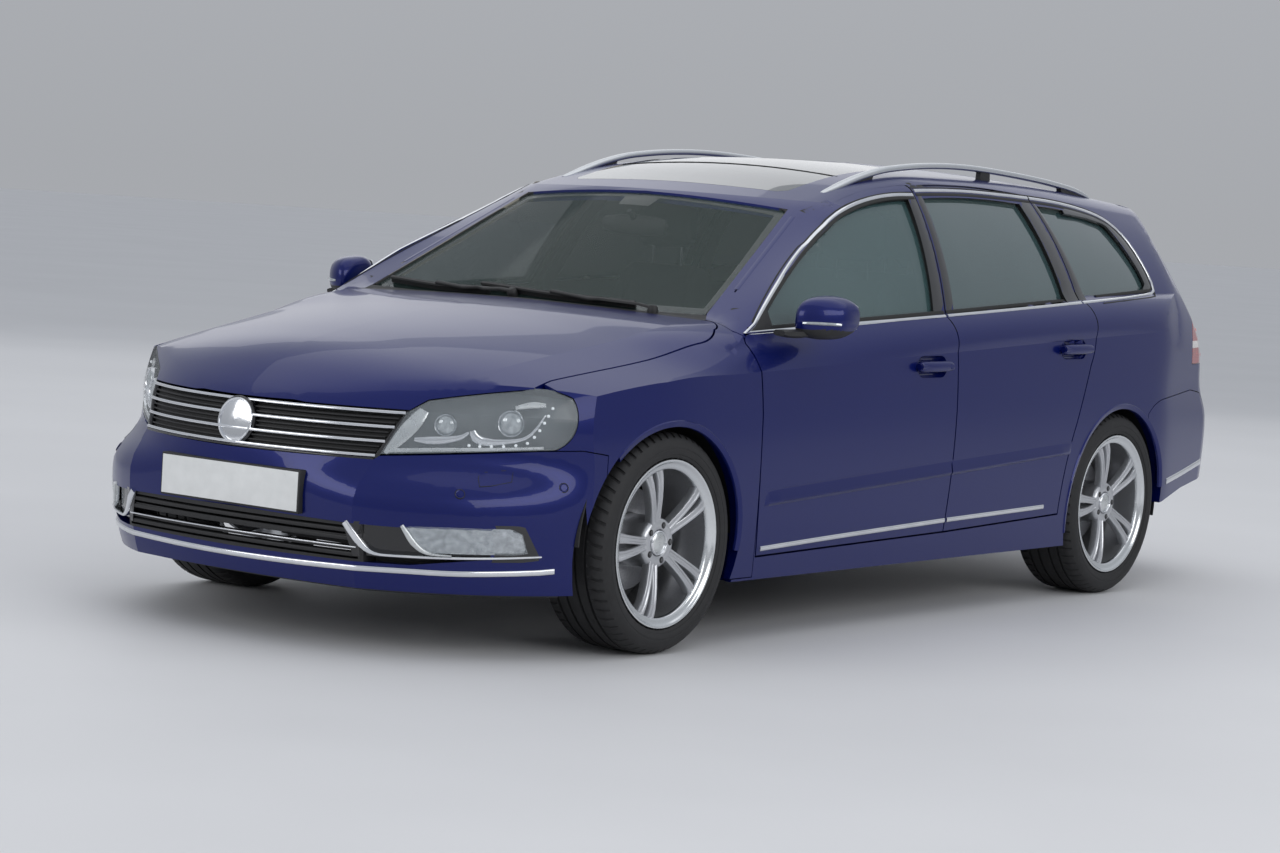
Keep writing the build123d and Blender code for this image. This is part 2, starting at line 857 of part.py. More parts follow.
side_frame = outer - cabin - block((firewall_x, -10, 0), (2700, 1200, 1700))
side_frame = side_frame - grown_z(SCREEN_GLASS, rest, 880) - grown_z(ROOF, 0, 1250, 1700)
side_frame = side_frame - (grown_y(FENDER, fixed_gap) - seat)
for outline in (FRONT_DOOR, REAR_DOOR):
    side_frame = side_frame - (grown_y(outline, shut_gap) - seat - pillar_strip)
    side_frame = side_frame - grown_y(outline, -door_land, 600)
side_frame = side_frame - (grown_y(REAR_BUMPER, fixed_gap, -10) - seat)
side_frame = side_frame - (grown_x(TAILGATE, shut_gap, -2700, hatch_front_x + shut_gap) - seat)
side_frame = side_frame - grown_x(TAILGATE, -door_land, -2700, hatch_front_x)
side_frame = side_frame - (grown_y(TAIL_LAMP, fixed_gap) - seat)
side_frame = side_frame - grown_y(QUARTER_GLASS, rest) - arch_cuts[rear_axle_x]
side_frame = side_frame - along_z(COWL_CUT, 860, 1200) - grown_z(COWL, rest, cowl_low_z - rest)
side_frame = side_frame - arch_cuts[front_axle_x] - along_y(UNDER_TAIL, -10, 1150)
side_frame = side_frame - at_heights(PILLAR_SWING, pillar_corners)
side_frame = side_frame - block((-2700, -10, 100), (1200, cabin_half_width, floor_z))
cowl = outer & along_z(COWL, cowl_low_z, 1200)
apron = seat - lower_body(door_thickness + 14, panel_thickness + 14, -20, bumper_thickness + 12)
apron = apron & block((firewall_x, 0, 150), (2600, 1200, 1200)) - grown_z(BONNET, -bonnet_land, 600)
apron = apron - grown_x(GRILLE, -12, 1500, 2600) - grown_x(INTAKE, -12, 1500, 2600)
apron = apron - arch_cuts[front_axle_x] - grown_slant(HEADLAMP, -25, 1500, 2400)
apron = apron - upper_body(0)

# ---------------------------------------------------------------- mirrors and rails

def mirror_housing():
    """A door mirror: a shell that tapers outwards, on a foot at the door's front corner."""
    sections = []
    for y, front_x, rear_x, low_z, high_z in MIRROR:
        middle_x = (front_x + rear_x) / 2
        middle_z = (low_z + high_z) / 2
        plane = Plane(origin=(middle_x, y, middle_z), x_dir=(1, 0, 0), z_dir=(0, -1, 0))
        size = (abs(front_x - rear_x), high_z - low_z)
        sections.append(plane * RectangleRounded(*size, radius=min(size) * 0.42))
    shell = loft(sections, ruled=True)
    foot = rod((mirror_foot_x, 800, mirror_foot_z), (mirror_foot_x - 85, 935, mirror_foot_z + 30), 20)
    return biggest(shell + foot - outer)


door_mirror = mirror_housing()


def roof_rail():
    rail = extrude(
        outlined(lambda x, z: Vector(x, rail_y - rail_width / 2, z), RAIL),
        amount=rail_width,
        dir=(0, 1, 0),
    )
    for edges in RAIL_GAPS:
        rail = rail - along_y(edges, 400, 700)
    return biggest(rail - outer)


rail = roof_rail()

# ---------------------------------------------------------------- floor and bulkheads

floor_profile = [
    [(firewall_x - firewall_thickness, floor_z)],
    [(-560, floor_z)],
    [(-620, tank_floor_z)],
    [(-990, tank_floor_z)],
    [(-1040, load_floor_z)],
    [(-1880 + rest_gap, load_floor_z)],
    [(-1880 + rest_gap, load_floor_z - floor_thickness)],
    [(-1040 - floor_thickness, load_floor_z - floor_thickness)],
    [(-990 - floor_thickness, tank_floor_z - floor_thickness)],
    [(-620 - floor_thickness, tank_floor_z - floor_thickness)],
    [(-560 - floor_thickness, floor_z - floor_thickness)],
    [(firewall_x - firewall_thickness, floor_z - floor_thickness)],
]
half_floor = along_y(floor_profile, 0, cabin_half_width)
half_floor = half_floor - block((rear_axle_x - arch_radius - 60, rear_liner_y - 5, 0), (-820, 900, 900))
half_floor = half_floor + block(
    (-2110 + rest_gap, 0, load_floor_z - floor_thickness),
    (-1880 + rest_gap, 600 - rest_gap, load_floor_z),
)
tunnel = block(
    (-540, 0, floor_z - floor_thickness),
    (firewall_x - firewall_thickness, tunnel_half_width, tunnel_z),
)
bore = block((-700, -1, 0), (firewall_x, tunnel_half_width - 12, tunnel_z - 12))
half_floor = half_floor + tunnel - bore
for rail_x in seat_beam_xs:
    half_floor = half_floor + block(
        (rail_x - 40, tunnel_half_width, floor_z),
        (rail_x + 40, cabin_half_width, floor_z + 45),
    )
floor = whole(half_floor)
firewall_low = firewall_x - firewall_thickness
firewall = block(
    (firewall_low, -cabin_half_width, floor_z - floor_thickness),
    (firewall_x, cabin_half_width, cowl_low_z),
)
front_rail = block((firewall_x, 380, 400), (2150, 455, 520))
front_beam = block((2105, 0, 300), (2150, 455, 640))
underbody = floor + firewall + whole(front_rail + front_beam)
for side in (1, -1):
    low_y, high_y = sorted((side * (liner_inner_y - rest), side * 1000))
    liner_hole = liner_radius + liner_thickness + rest
    underbody = underbody - disc(front_axle_x, tyre_radius, liner_hole, low_y, high_y)
    low_y, high_y = sorted((side * 700, side * 1000))
    underbody = underbody - block((1000, low_y, 840), (1300, high_y, 1000))


def wheel_liner(axle_x, inner_y, low_z):
    """The bowl over a wheel: a band with a wall on the car's inside."""
    band = disc(axle_x, tyre_radius, liner_radius + liner_thickness, inner_y, liner_outer_y)
    bowl = band - disc(axle_x, tyre_radius, liner_radius, inner_y + liner_thickness, 1000)
    return bowl & block((axle_x - 500, 300, low_z), (axle_x + 500, 1000, 800))


front_liner = wheel_liner(front_axle_x, liner_inner_y, 330)
front_liner = front_liner - disc(front_axle_x, 330, 75, 400, 500)
rear_liner = wheel_liner(rear_axle_x, rear_liner_y, 260)
rear_liner = rear_liner - disc(rear_axle_x, tyre_radius, 60, 600, 700)

# ---------------------------------------------------------------- running gear

front_subframe = block((1230, -370, 215), (1720, 370, 255)) - block((1330, -250, 200), (1620, 250, 300))
for side in (1, -1):
    low_y, high_y = sorted((side * 360, side * (knuckle_y + 10)))
    arm = block((front_axle_x - 34, low_y, 218), (front_axle_x + 34, high_y, 238))
    front_subframe = front_subframe + arm
    low_y, high_y = sorted((side * 385, side * 415))
    front_subframe = front_subframe + block((1250, low_y, 215), (1700, high_y, 399.7))
    low_y, high_y = sorted((side * 360, side * 415))
    front_subframe = front_subframe + block((1250, low_y, 215), (1700, high_y, 240))


def knuckle():
    """A steering knuckle: an upright with the wheel's stub axle."""
    upright = block((front_axle_x - 32, knuckle_y - 14, 238.3), (front_axle_x + 32, knuckle_y + 14, 440))
    stub = disc(front_axle_x, tyre_radius, 24, knuckle_y, hub_face_y - rest)
    flange = disc(front_axle_x, tyre_radius, 44, knuckle_y, knuckle_y + 24)
    return upright + stub + flange


def strut():
    top_z = tyre_radius + liner_radius - 1
    return rod((front_axle_x, strut_y, 238 + rest), (front_axle_x, strut_y, top_z), 19)


under_load_floor = load_floor_z - floor_thickness - rest
under_tank_floor = tank_floor_z - floor_thickness - rest
rear_axle = disc(rear_axle_x, tyre_radius, 38, -620, 620)
rear_axle = rear_axle + disc(rear_axle_x, tyre_radius, 24, -hub_face_y + rest, hub_face_y - rest)
for side in (1, -1):
    spring_y = side * 480
    rear_axle = rear_axle + block((rear_axle_x + 20, spring_y - 30, 290), (-890, spring_y + 30, 330))
    rear_axle = rear_axle + rod((rear_axle_x, spring_y, 330), (rear_axle_x, spring_y, under_load_floor), 45)
fuel_tank = block((-980 - floor_thickness, -430, 215), (-640 - floor_thickness, 430, under_tank_floor))
exhaust = rod((1150, exhaust_y, exhaust_z), (-1320, exhaust_y, exhaust_z), exhaust_radius)
exhaust = exhaust + rod((-1320, exhaust_y, exhaust_z), (-1720, exhaust_y, silencer_z), exhaust_radius)
exhaust = exhaust + block((-2104, -300, silencer_z - 60), (-1710, 300, silencer_z + 60))
exhaust = exhaust + rod((0, exhaust_y, exhaust_z), (0, exhaust_y, tunnel_z - 12 - rest), 8)
for side in (1, -1):
    hanger_y = side * 250
    exhaust = exhaust + rod((-1880, hanger_y, silencer_z), (-1880, hanger_y, under_load_floor), 8)
engine = block((1290, -330, 270), (1690, 330, 640))
engine = engine + block((1340, -300, 640), (1640, 300, 760))
for foot_x in (1310, 1640):
    engine = engine + block((foot_x, -200, 255.3), (foot_x + 40, 200, 300))


def revolved(points, x, z):
    """A body of revolution about a wheel's axle, from points of radius and y."""
    wire = Polyline(*[Vector(x, y, z + r) for r, y in points], close=True)
    return revolve(Face(Wire(wire.edges())), axis=Axis((x, 0, z), (0, 1, 0)))


def tyre(x):
    w = tyre_width / 2
    y = wheel_plane_y
    points = [
        (rim_radius - 17, y - w + 18),
        (rim_radius + 8, y - w + 4),
        (rim_radius + 36, y - w),
        (tyre_radius - 16, y - w + 9),
        (tyre_radius, y - w + 34),
        (tyre_radius, y + w - 34),
        (tyre_radius - 16, y + w - 9),
        (rim_radius + 36, y + w),
        (rim_radius + 10, y + w - 6),
        (rim_radius + 3, y + w - 20),
        (rim_radius - 17, y + w - 20),
    ]
    return revolved(points, x, tyre_radius)


def rim(x):
    """A rim: a rolled barrel, ten spokes in pairs, a hub with its cap, and the brake disc."""
    w = tyre_width / 2
    y = wheel_plane_y
    barrel = revolved([
        (rim_radius - 17 - rest, y - w + 16),
        (rim_radius - 17 - rest, y + w - 20 + rest),
        (rim_radius, y + w - 20 + rest),
        (rim_radius, y + w - 8),
        (rim_radius - 10, y + w - 6),
        (seat_radius - 14, y + w - 26),
        (seat_radius - 22, y - w + 24),
        (seat_radius - 12, y - w + 16),
    ], x, tyre_radius)
    hub = disc(x, tyre_radius, 76, hub_face_y, y + w - 36)
    cap = disc(x, tyre_radius, 32, y + w - 36, y + w - 31)
    spoke = block((58, y + w - 44, -15), (seat_radius - 10, y + w - 14, 15))
    wheel = barrel + hub + cap
    for i in range(spoke_count):
        for lean in (-7, 7):
            arm = Pos(x, 0, tyre_radius) * Rot(0, i * 360 / spoke_count + lean, 0) * spoke
            wheel = wheel + arm
    wheel = wheel - disc(x, tyre_radius, 24.5, 600, hub_face_y)
    brake = disc(x, tyre_radius, 150, hub_face_y - 12, hub_face_y + 8)
    brake = brake - disc(x, tyre_radius, 24.5, 600, hub_face_y)
    return biggest(wheel + brake)


front_rim = rim(front_axle_x)
rear_rim = rim(rear_axle_x)

# ---------------------------------------------------------------- cabin

dashboard = along_y(DASH, 0, dash_half_width)
dashboard = whole(dashboard)
column_dir = Vector(-cos(radians(column_angle)), 0, sin(radians(column_angle)))
wheel_middle = Vector(steering_x, steering_y, steering_z)
column_end = wheel_middle - column_dir * 40
column = rod(tuple(wheel_middle - column_dir * 520), tuple(column_end), 34)
dashboard = dashboard + column
wheel_plane = Plane(origin=wheel_middle, z_dir=column_dir)
steering_wheel = wheel_plane * Torus(steering_radius, 15)
steering_wheel = steering_wheel + wheel_plane * (Pos(0, 0, -14) * Cylinder(62, 44))
spoke = Pos(steering_radius / 2 + 14, 0, -6) * Box(steering_radius - 40, 34, 12)
for turn in (0, 180, 270):
    steering_wheel = steering_wheel + wheel_plane * (Rot(0, 0, turn) * spoke)
steering_wheel = steering_wheel + wheel_plane * (Pos(0, 0, -37.7) * Cylinder(12, 4))


def seat_solid(cushion, back, rest_block, low_y, high_y, mount):
    shape = along_y(cushion, low_y, high_y) + along_y(back, low_y, high_y)
    shape = shape + along_y(rest_block, (low_y + high_y) / 2 - 130, (low_y + high_y) / 2 + 130)
    return shape + along_y(mount, low_y + 40, high_y - 40)


front_seat = seat_solid(SEAT_CUSHION, SEAT_BACK, SEAT_HEAD, 130, 640, SEAT_FEET)
rear_seat = along_y(BENCH_CUSHION, -630, 630) + along_y(BENCH_BACK, -630, 630)
for head_y in (-400, 0, 400):
    rear_seat = rear_seat + along_y(BENCH_HEAD, head_y - 120, head_y + 120)

# ---------------------------------------------------------------- files

save("underbody", underbody)
save("wheel_liners", both_sides(front_liner, rear_liner))
save("side_frames", both_sides(biggest(side_frame)))
save("roof_panel", whole(biggest(roof_panel)))
save("roof_glass", whole(roof_glass))
save("windscreen", whole(screen_glass))
save("quarter_glass", both_sides(quarter_glass))
save("fenders", both_sides(biggest(fender)))
save("front_apron", whole(biggest(apron)))
save("front_bumper", whole(biggest(front_bumper)))
save("rear_bumper", whole(biggest(rear_bumper)))
save("radiator_grille", whole(biggest(grille)))
save("lower_grille", whole(biggest(lower_grille)))
save("headlamps", both_sides(headlamp))
save("fog_lamps", both_sides(fog_lamp))
save("tail_lamps", both_sides(tail_lamp))
save("roof_rails", both_sides(rail))
save("cowl", whole(biggest(cowl)))
save("dashboard", dashboard)
save("front_seats", both_sides(front_seat))
save("rear_seat", rear_seat)
save("engine", engine)
save("front_subframe", front_subframe)
save("struts", both_sides(strut()))
save("rear_axle", rear_axle)
save("exhaust", exhaust)
save("fuel_tank", fuel_tank)
save("bonnet", whole(bonnet))
save("tailgate", whole(biggest(tailgate)))
save("tailgate_glass", whole(tail_glass))
save("tailgate_lamps", both_sides(tailgate_lamp))
save("steering_wheel", steering_wheel)
for side, turn in (("left", lambda s: s), ("right", lambda s: mirror(s, about=Plane.XZ))):
    save(f"front_door_{side}", turn(biggest(front_door)))
    save(f"front_door_glass_{side}", turn(front_glass))
    save(f"door_mirror_{side}", turn(door_mirror))
    save(f"rear_door_{side}", turn(biggest(rear_door)))
    save(f"rear_door_glass_{side}", turn(rear_glass))
    save(f"knuckle_{side}", turn(knuckle()))
    save(f"front_rim_{side}", turn(front_rim))
    save(f"front_tyre_{side}", turn(tyre(front_axle_x)))
    save(f"rear_rim_{side}", turn(rear_rim))
    save(f"rear_tyre_{side}", turn(tyre(rear_axle_x)))
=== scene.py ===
import cmath
import json
import math

import bmesh
import bpy
from mathutils import Matrix, Vector
from mathutils.bvhtree import BVHTree
from mathutils.interpolate import poly_3d_calc

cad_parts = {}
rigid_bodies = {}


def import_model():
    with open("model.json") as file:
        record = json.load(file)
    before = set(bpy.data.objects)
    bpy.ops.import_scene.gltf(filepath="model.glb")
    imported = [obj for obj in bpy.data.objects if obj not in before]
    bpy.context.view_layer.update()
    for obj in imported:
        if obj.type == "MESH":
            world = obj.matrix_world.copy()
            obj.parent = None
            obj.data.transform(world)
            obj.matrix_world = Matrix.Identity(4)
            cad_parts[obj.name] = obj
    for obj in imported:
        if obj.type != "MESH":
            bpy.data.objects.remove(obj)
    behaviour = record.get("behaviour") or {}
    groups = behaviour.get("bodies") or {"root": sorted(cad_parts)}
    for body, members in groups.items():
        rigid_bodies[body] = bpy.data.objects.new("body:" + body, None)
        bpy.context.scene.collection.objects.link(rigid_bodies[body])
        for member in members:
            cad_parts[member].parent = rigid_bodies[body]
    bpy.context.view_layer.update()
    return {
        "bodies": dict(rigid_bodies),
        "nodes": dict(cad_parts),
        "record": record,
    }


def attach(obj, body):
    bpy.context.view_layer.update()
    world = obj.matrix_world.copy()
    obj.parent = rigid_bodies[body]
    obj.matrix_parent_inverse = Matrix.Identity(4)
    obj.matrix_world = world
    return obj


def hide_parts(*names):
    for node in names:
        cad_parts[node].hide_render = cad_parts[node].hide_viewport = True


# Looks of the station wagon. Metres, X forward, Y to the car's left, Z up.

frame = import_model()
nodes = frame["nodes"]
scene = bpy.context.scene
SIDES = (("left", 1), ("right", -1))
X, Y, Z = Vector((1, 0, 0)), Vector((0, 1, 0)), Vector((0, 0, 1))
TURN = 2 * math.pi

# ---------------------------------------------------------------- materials

BUMP_SLOPE = 0.35  # height of the fine bump over its own length
COAT_ROUGHNESS = 0.02
SLOTS = {}


def put(target, **values):
    for key, value in values.items():
        target.inputs[key.replace("_", " ")].default_value = value
    return target


def fade(ramp, places, colours):
    for stop, place, colour in zip(ramp.color_ramp.elements, places, colours):
        stop.position = place
        stop.color = (*colour, 1)


def placed(name, data):
    """An object in the scene."""
    obj = bpy.data.objects.new(name, data)
    scene.collection.objects.link(obj)
    return obj


def material(name, slot, colour, second, rough, metallic, scale, bump=0, bump_scale=400,
             coat=0, alpha=1, glow=None, stretch=None, specular=None):
    """A procedural material: two colours and two roughnesses mixed by noise, with a fine bump.

    slot is the record's finish for pieces of this material unless they name another one; it is kept in SLOTS.
    """
    mat = bpy.data.materials.new(name)
    mat.use_nodes = True
    tree = mat.node_tree
    link = tree.links.new
    shader = tree.nodes["Principled BSDF"]

    def new(kind, **values):
        return put(tree.nodes.new("ShaderNode" + kind), **values)

    source = new("TexCoord").outputs["Object"]
    if stretch:
        mapping = new("Mapping", Scale=stretch)
        link(source, mapping.inputs["Vector"])
        source = mapping.outputs["Vector"]
    noise = new("TexNoise", Scale=scale, Detail=3)
    link(source, noise.inputs["Vector"])
    ramp = new("ValToRGB")
    fade(ramp, (0.3, 0.7), (colour, second))
    link(noise.outputs["Fac"], ramp.inputs["Fac"])
    link(ramp.outputs["Color"], shader.inputs["Base Color"])
    spread = new("MapRange", To_Min=rough[0], To_Max=rough[1])
    link(noise.outputs["Fac"], spread.inputs["Value"])
    link(spread.outputs["Result"], shader.inputs["Roughness"])
    put(shader, Metallic=metallic, Coat_Weight=coat, Coat_Roughness=COAT_ROUGHNESS, Alpha=alpha)
    if specular is not None:
        put(shader, Specular_IOR_Level=specular)
    if glow:
        put(shader, Emission_Color=(*glow[:3], 1), Emission_Strength=glow[3])
    if bump:
        fine = new("TexNoise", Scale=bump_scale, Detail=2)
        link(source, fine.inputs["Vector"])
        relief = new("Bump", Strength=bump, Distance=BUMP_SLOPE / bump_scale)
        link(fine.outputs["Fac"], relief.inputs["Height"])
        link(relief.outputs["Normal"], shader.inputs["Normal"])
    SLOTS[mat.name] = slot
    return mat


PAINT = material("navy_paint", "paint", (0.001, 0.005, 0.092), (0.002, 0.009, 0.124), (0.27, 0.35), 0.4, 900,
                 coat=0.5, specular=0.20)
CHROME = material("bright_chrome", "chrome", (0.82, 0.83, 0.85), (0.72, 0.74, 0.77), (0.06, 0.14), 1, 12)
GLOSS_BLACK = material("gloss_black", "black_plastic", (0.004, 0.004, 0.005), (0.007, 0.007, 0.009), (0.08, 0.16),
                       0, 30, coat=0.6)
BLACK = material("grained_black", "black_plastic", (0.010, 0.010, 0.011), (0.018, 0.018, 0.019), (0.5, 0.65), 0,
                 120, 0.25, 900)
SEAL = material("black_seal", "black_plastic", (0.006, 0.006, 0.006), (0.010, 0.010, 0.010), (0.55, 0.7), 0, 80,
                0.1, 600)
CLEAR_GLASS = material("clear_glass", None, (0.030, 0.062, 0.055), (0.036, 0.072, 0.064), (0.06, 0.10), 0, 3,
                       alpha=0.24)
SIDE_GLASS = material("side_glass", None, (0.060, 0.115, 0.118), (0.070, 0.130, 0.133), (0.01, 0.03), 0, 3, coat=1,
                      alpha=0.62)
DARK_GLASS = material("dark_glass", None, (0.045, 0.082, 0.086), (0.054, 0.094, 0.098), (0.01, 0.03), 0, 3, coat=1,
                      alpha=0.88)
ROOF_GLASS = material("roof_glass_tint", None, (0.006, 0.010, 0.009), (0.010, 0.014, 0.013), (0.01, 0.03), 0, 3,
                      coat=1, alpha=0.90)
LENS = material("lamp_lens", "clear_lamp", (0.50, 0.56, 0.60), (0.60, 0.66, 0.70), (0.01, 0.03), 0, 5, coat=1,
                alpha=0.14)
RED_LENS = material("red_lens", "red_lamp", (0.30, 0.004, 0.006), (0.40, 0.008, 0.010), (0.06, 0.12), 0, 20, coat=1)
RED_GUIDE = material("red_light_guide", "red_lamp", (0.55, 0.02, 0.02), (0.70, 0.04, 0.03), (0.1, 0.2), 0, 60,
                     coat=1, glow=(0.8, 0.03, 0.02, 0.25))
WHITE_LENS = material("white_lens", None, (0.70, 0.66, 0.64), (0.80, 0.77, 0.75), (0.06, 0.12), 0, 20, coat=1)
SATIN_RAIL = material("satin_rail", "silver_rail", (0.62, 0.64, 0.66), (0.70, 0.72, 0.74), (0.26, 0.36), 1, 300,
                      stretch=(1, 30, 30))
ALLOY = material("alloy_paint", "alloy", (0.48, 0.49, 0.51), (0.56, 0.57, 0.59), (0.24, 0.34), 0.85, 500, coat=0.5)
RUBBER = material("tyre_rubber", "rubber_tyre", (0.008, 0.008, 0.009), (0.016, 0.016, 0.017), (0.6, 0.75), 0, 50,
                  0.3, 500)
STEEL = material("coated_steel", None, (0.012, 0.012, 0.013), (0.020, 0.020, 0.021), (0.5, 0.65), 0.2, 40, 0.1, 300)
CAST = material("cast_metal", "steel", (0.10, 0.10, 0.105), (0.16, 0.16, 0.165), (0.5, 0.7), 0.8, 60, 0.4, 250)
DISC = material("brake_disc", "steel", (0.30, 0.30, 0.31), (0.38, 0.38, 0.39), (0.25, 0.4), 1, 200)
CLOTH = material("seat_weave", None, (0.020, 0.020, 0.022), (0.035, 0.035, 0.038), (0.85, 0.95), 0, 900, 0.6, 1500)
DASH = material("dash_skin", "dash_plastic", (0.016, 0.016, 0.017), (0.024, 0.024, 0.025), (0.6, 0.75), 0, 150,
                0.35, 1100)
LEATHER = material("wheel_hide", "wheel_leather", (0.012, 0.012, 0.013), (0.020, 0.020, 0.021), (0.4, 0.55), 0, 100,
                   0.4, 900)
BEIGE = material("pale_trim", None, (0.36, 0.33, 0.28), (0.42, 0.39, 0.33), (0.7, 0.85), 0, 120, 0.2, 700)
PLATE = material("blank_plate", "chrome", (0.72, 0.73, 0.72), (0.78, 0.79, 0.78), (0.25, 0.35), 0, 25, coat=0.3)
SATIN = material("satin_reflector", "chrome", (0.60, 0.62, 0.62), (0.70, 0.72, 0.72), (0.22, 0.34), 0.9, 40)
POLISHED = material("polished_alloy", "alloy", (0.66, 0.68, 0.69), (0.72, 0.74, 0.75), (0.15, 0.20), 1, 260)
HOUSING = material("lamp_housing", None, (0.060, 0.068, 0.072), (0.110, 0.122, 0.128), (0.25, 0.4), 0.6, 14)
BEAM = material("beam_glass", "clear_lamp", (0.30, 0.33, 0.34), (0.62, 0.66, 0.68), (0.03, 0.08), 0.5, 60, coat=1)
FACETS = material("faceted_reflector", "clear_lamp", (0.34, 0.36, 0.38), (0.62, 0.65, 0.67), (0.16, 0.26), 1, 60,
                  0.35, 110)
DOTS = material("lamp_dot", "clear_lamp", (0.80, 0.84, 0.86), (0.9, 0.93, 0.95), (0.1, 0.2), 0, 100,
                glow=(0.9, 0.95, 1, 0.25))
TANK = material("tank_moulding", None, (0.014, 0.014, 0.014), (0.022, 0.022, 0.022), (0.6, 0.7), 0, 50, 0.2, 300)

# ---------------------------------------------------------------- body surface
# The body's sections, as the solids have them, here on a finer smooth surface.
# Rows of the first two: x, then heights and half widths from the ridge down.
# Rows of the other three: z, x on the middle line, edge x and y, corner x and y, turn in degrees.

TUB = (
    (2.400, 0.645, 0.430, 0.575, 0.600, 0.530, 0.880, 0.455, 0.898, 0.880),
    (2.180, 0.802, 0.500, 0.730, 0.650, 0.697, 0.885, 0.640, 0.903, 0.882),
    (1.930, 0.872, 0.590, 0.808, 0.745, 0.768, 0.888, 0.722, 0.905, 0.884),
    (1.500, 0.940, 0.650, 0.888, 0.790, 0.842, 0.897, 0.797, 0.908, 0.885),
    (1.079, 0.976, 0.690, 0.955, 0.815, 0.915, 0.898, 0.815, 0.910, 0.885),
    (0.000, 1.010, 0.790, 1.004, 0.862, 0.977, 0.898, 0.867, 0.910, 0.885),
    (-1.216, 1.075, 0.770, 1.068, 0.852, 1.042, 0.894, 0.924, 0.910, 0.885),
    (-2.400, 1.095, 0.700, 1.080, 0.800, 1.050, 0.872, 0.965, 0.900, 0.875),
)
GLASSHOUSE = (
    (1.250, 1.150, 0.560, 1.115, 0.715, 1.085, 0.786, 0.985, 0.838),
    (0.440, 1.345, 0.540, 1.312, 0.655, 1.288, 0.772, 1.110, 0.872),
    (0.000, 1.443, 0.540, 1.408, 0.640, 1.370, 0.792, 1.130, 0.884),
    (-0.400, 1.470, 0.540, 1.436, 0.632, 1.392, 0.796, 1.140, 0.884),
    (-1.216, 1.457, 0.530, 1.423, 0.625, 1.375, 0.782, 1.150, 0.876),
    (-2.400, 1.375, 0.470, 1.345, 0.560, 1.295, 0.720, 1.120, 0.846),
)
NOSE = (
    (0.150, 2.325, 2.285, 0.420, 1.800, 0.848, 14),
    (0.250, 2.362, 2.322, 0.425, 1.818, 0.862, 14),
    (0.441, 2.3855, 2.345, 0.430, 1.833, 0.869, 14),
    (0.553, 2.383, 2.270, 0.441, 1.840, 0.872, 8),
    (0.681, 2.347, 2.199, 0.487, 1.852, 0.868, 0),
    (0.850, 2.200, 2.060, 0.500, 1.800, 0.860, 0),
    (1.100, 2.050, 1.920, 0.500, 1.650, 0.880, 0),
)
SCREEN = (
    (0.860, 1.315, 1.252, 0.719, 1.150, 0.880, 0),
    (0.958, 1.143, 1.070, 0.678, 1.015, 0.836, 0),
    (1.100, 0.893, 0.806, 0.619, 0.775, 0.757, 0),
    (1.303, 0.537, 0.428, 0.535, 0.330, 0.655, 0),
    (1.500, 0.192, 0.061, 0.453, -0.120, 0.600, 0),
)
TAIL = (
    (0.150, -2.320, -2.240, 0.540, -1.990, 0.792, 0),
    (0.300, -2.365, -2.286, 0.555, -2.030, 0.806, 0),
    (0.450, -2.3855, -2.306, 0.560, -2.050, 0.810, 0),
    (0.610, -2.382, -2.303, 0.560, -2.048, 0.812, 0),
    (0.720, -2.330, -2.252, 0.556, -2.000, 0.806, 0),
    (0.900, -2.290, -2.214, 0.552, -1.975, 0.800, 0),
    (1.090, -2.150, -2.076, 0.525, -1.866, 0.752, 0),
    (1.400, -1.930, -1.872, 0.470, -1.750, 0.590, 0),
    (1.500, -1.860, -1.806, 0.450, -1.700, 0.545, 0),
)
BELT_Z, SILL_Z = 0.88, 0.19
ENDS = ((2.3, 0.965), (-2.3, 0.93))  # where nose and tail are drawn in, and to what share
EASE = 0.006  # how far from a shallow crease the normals are eased
SHALLOW = 0.8  # least cosine between two surfaces whose normals are eased
SAME_WAY = 0.86  # least cosine between a face and the surface that it lies on
REACH, LOOSE_REACH = 0.012, 0.03  # how far from the surface a face that lies on it is
MOST_MOVE = 0.02  # how far a point may go to lie on the surface
LONGEST_EDGE = 0.05
WELD = 2e-5
ARC_STEPS = 12


def curve_through(rows, cuts):
    """Rows of numbers with more rows between them, on a smooth curve."""
    out = []
    for i in range(len(rows) - 1):
        near = rows[max(i - 1, 0)], rows[i], rows[i + 1], rows[min(i + 2, len(rows) - 1)]
        for k in range(cuts):
            t = k / cuts
            out.append(tuple(
                0.5 * (2 * q + (r - p) * t + (2 * p - 5 * q + 4 * r - s) * t**2 + (3 * q - p - 3 * r + s) * t**3)
                for p, q, r, s in zip(*near)
            ))
    return out + [tuple(rows[-1])]


def arc(start, middle, end, count=ARC_STEPS):
    """Points of the circular arc through three points of a plane."""
    (ax, ay), (bx, by), (cx, cy) = start, middle, end
    d = 2 * (ax * (by - cy) + bx * (cy - ay) + cx * (ay - by))
    if abs(d) < 1e-9:
        return [(ax + (cx - ax) * i / count, ay + (cy - ay) * i / count) for i in range(count + 1)]
    a2, b2, c2 = ax * ax + ay * ay, bx * bx + by * by, cx * cx + cy * cy
    ux = (a2 * (by - cy) + b2 * (cy - ay) + c2 * (ay - by)) / d
    uy = (a2 * (cx - bx) + b2 * (ax - cx) + c2 * (bx - ax)) / d
    r = math.hypot(ax - ux, ay - uy)
    t0, t1, t2 = (math.atan2(y - uy, x - ux) for x, y in (start, middle, end))
    turn = (t2 - t0) % TURN
    if (t1 - t0) % TURN > turn:
        turn -= TURN
    angles = (t0 + turn * i / count for i in range(count + 1))
    return [(ux + r * math.cos(a), uy + r * math.sin(a)) for a in angles]


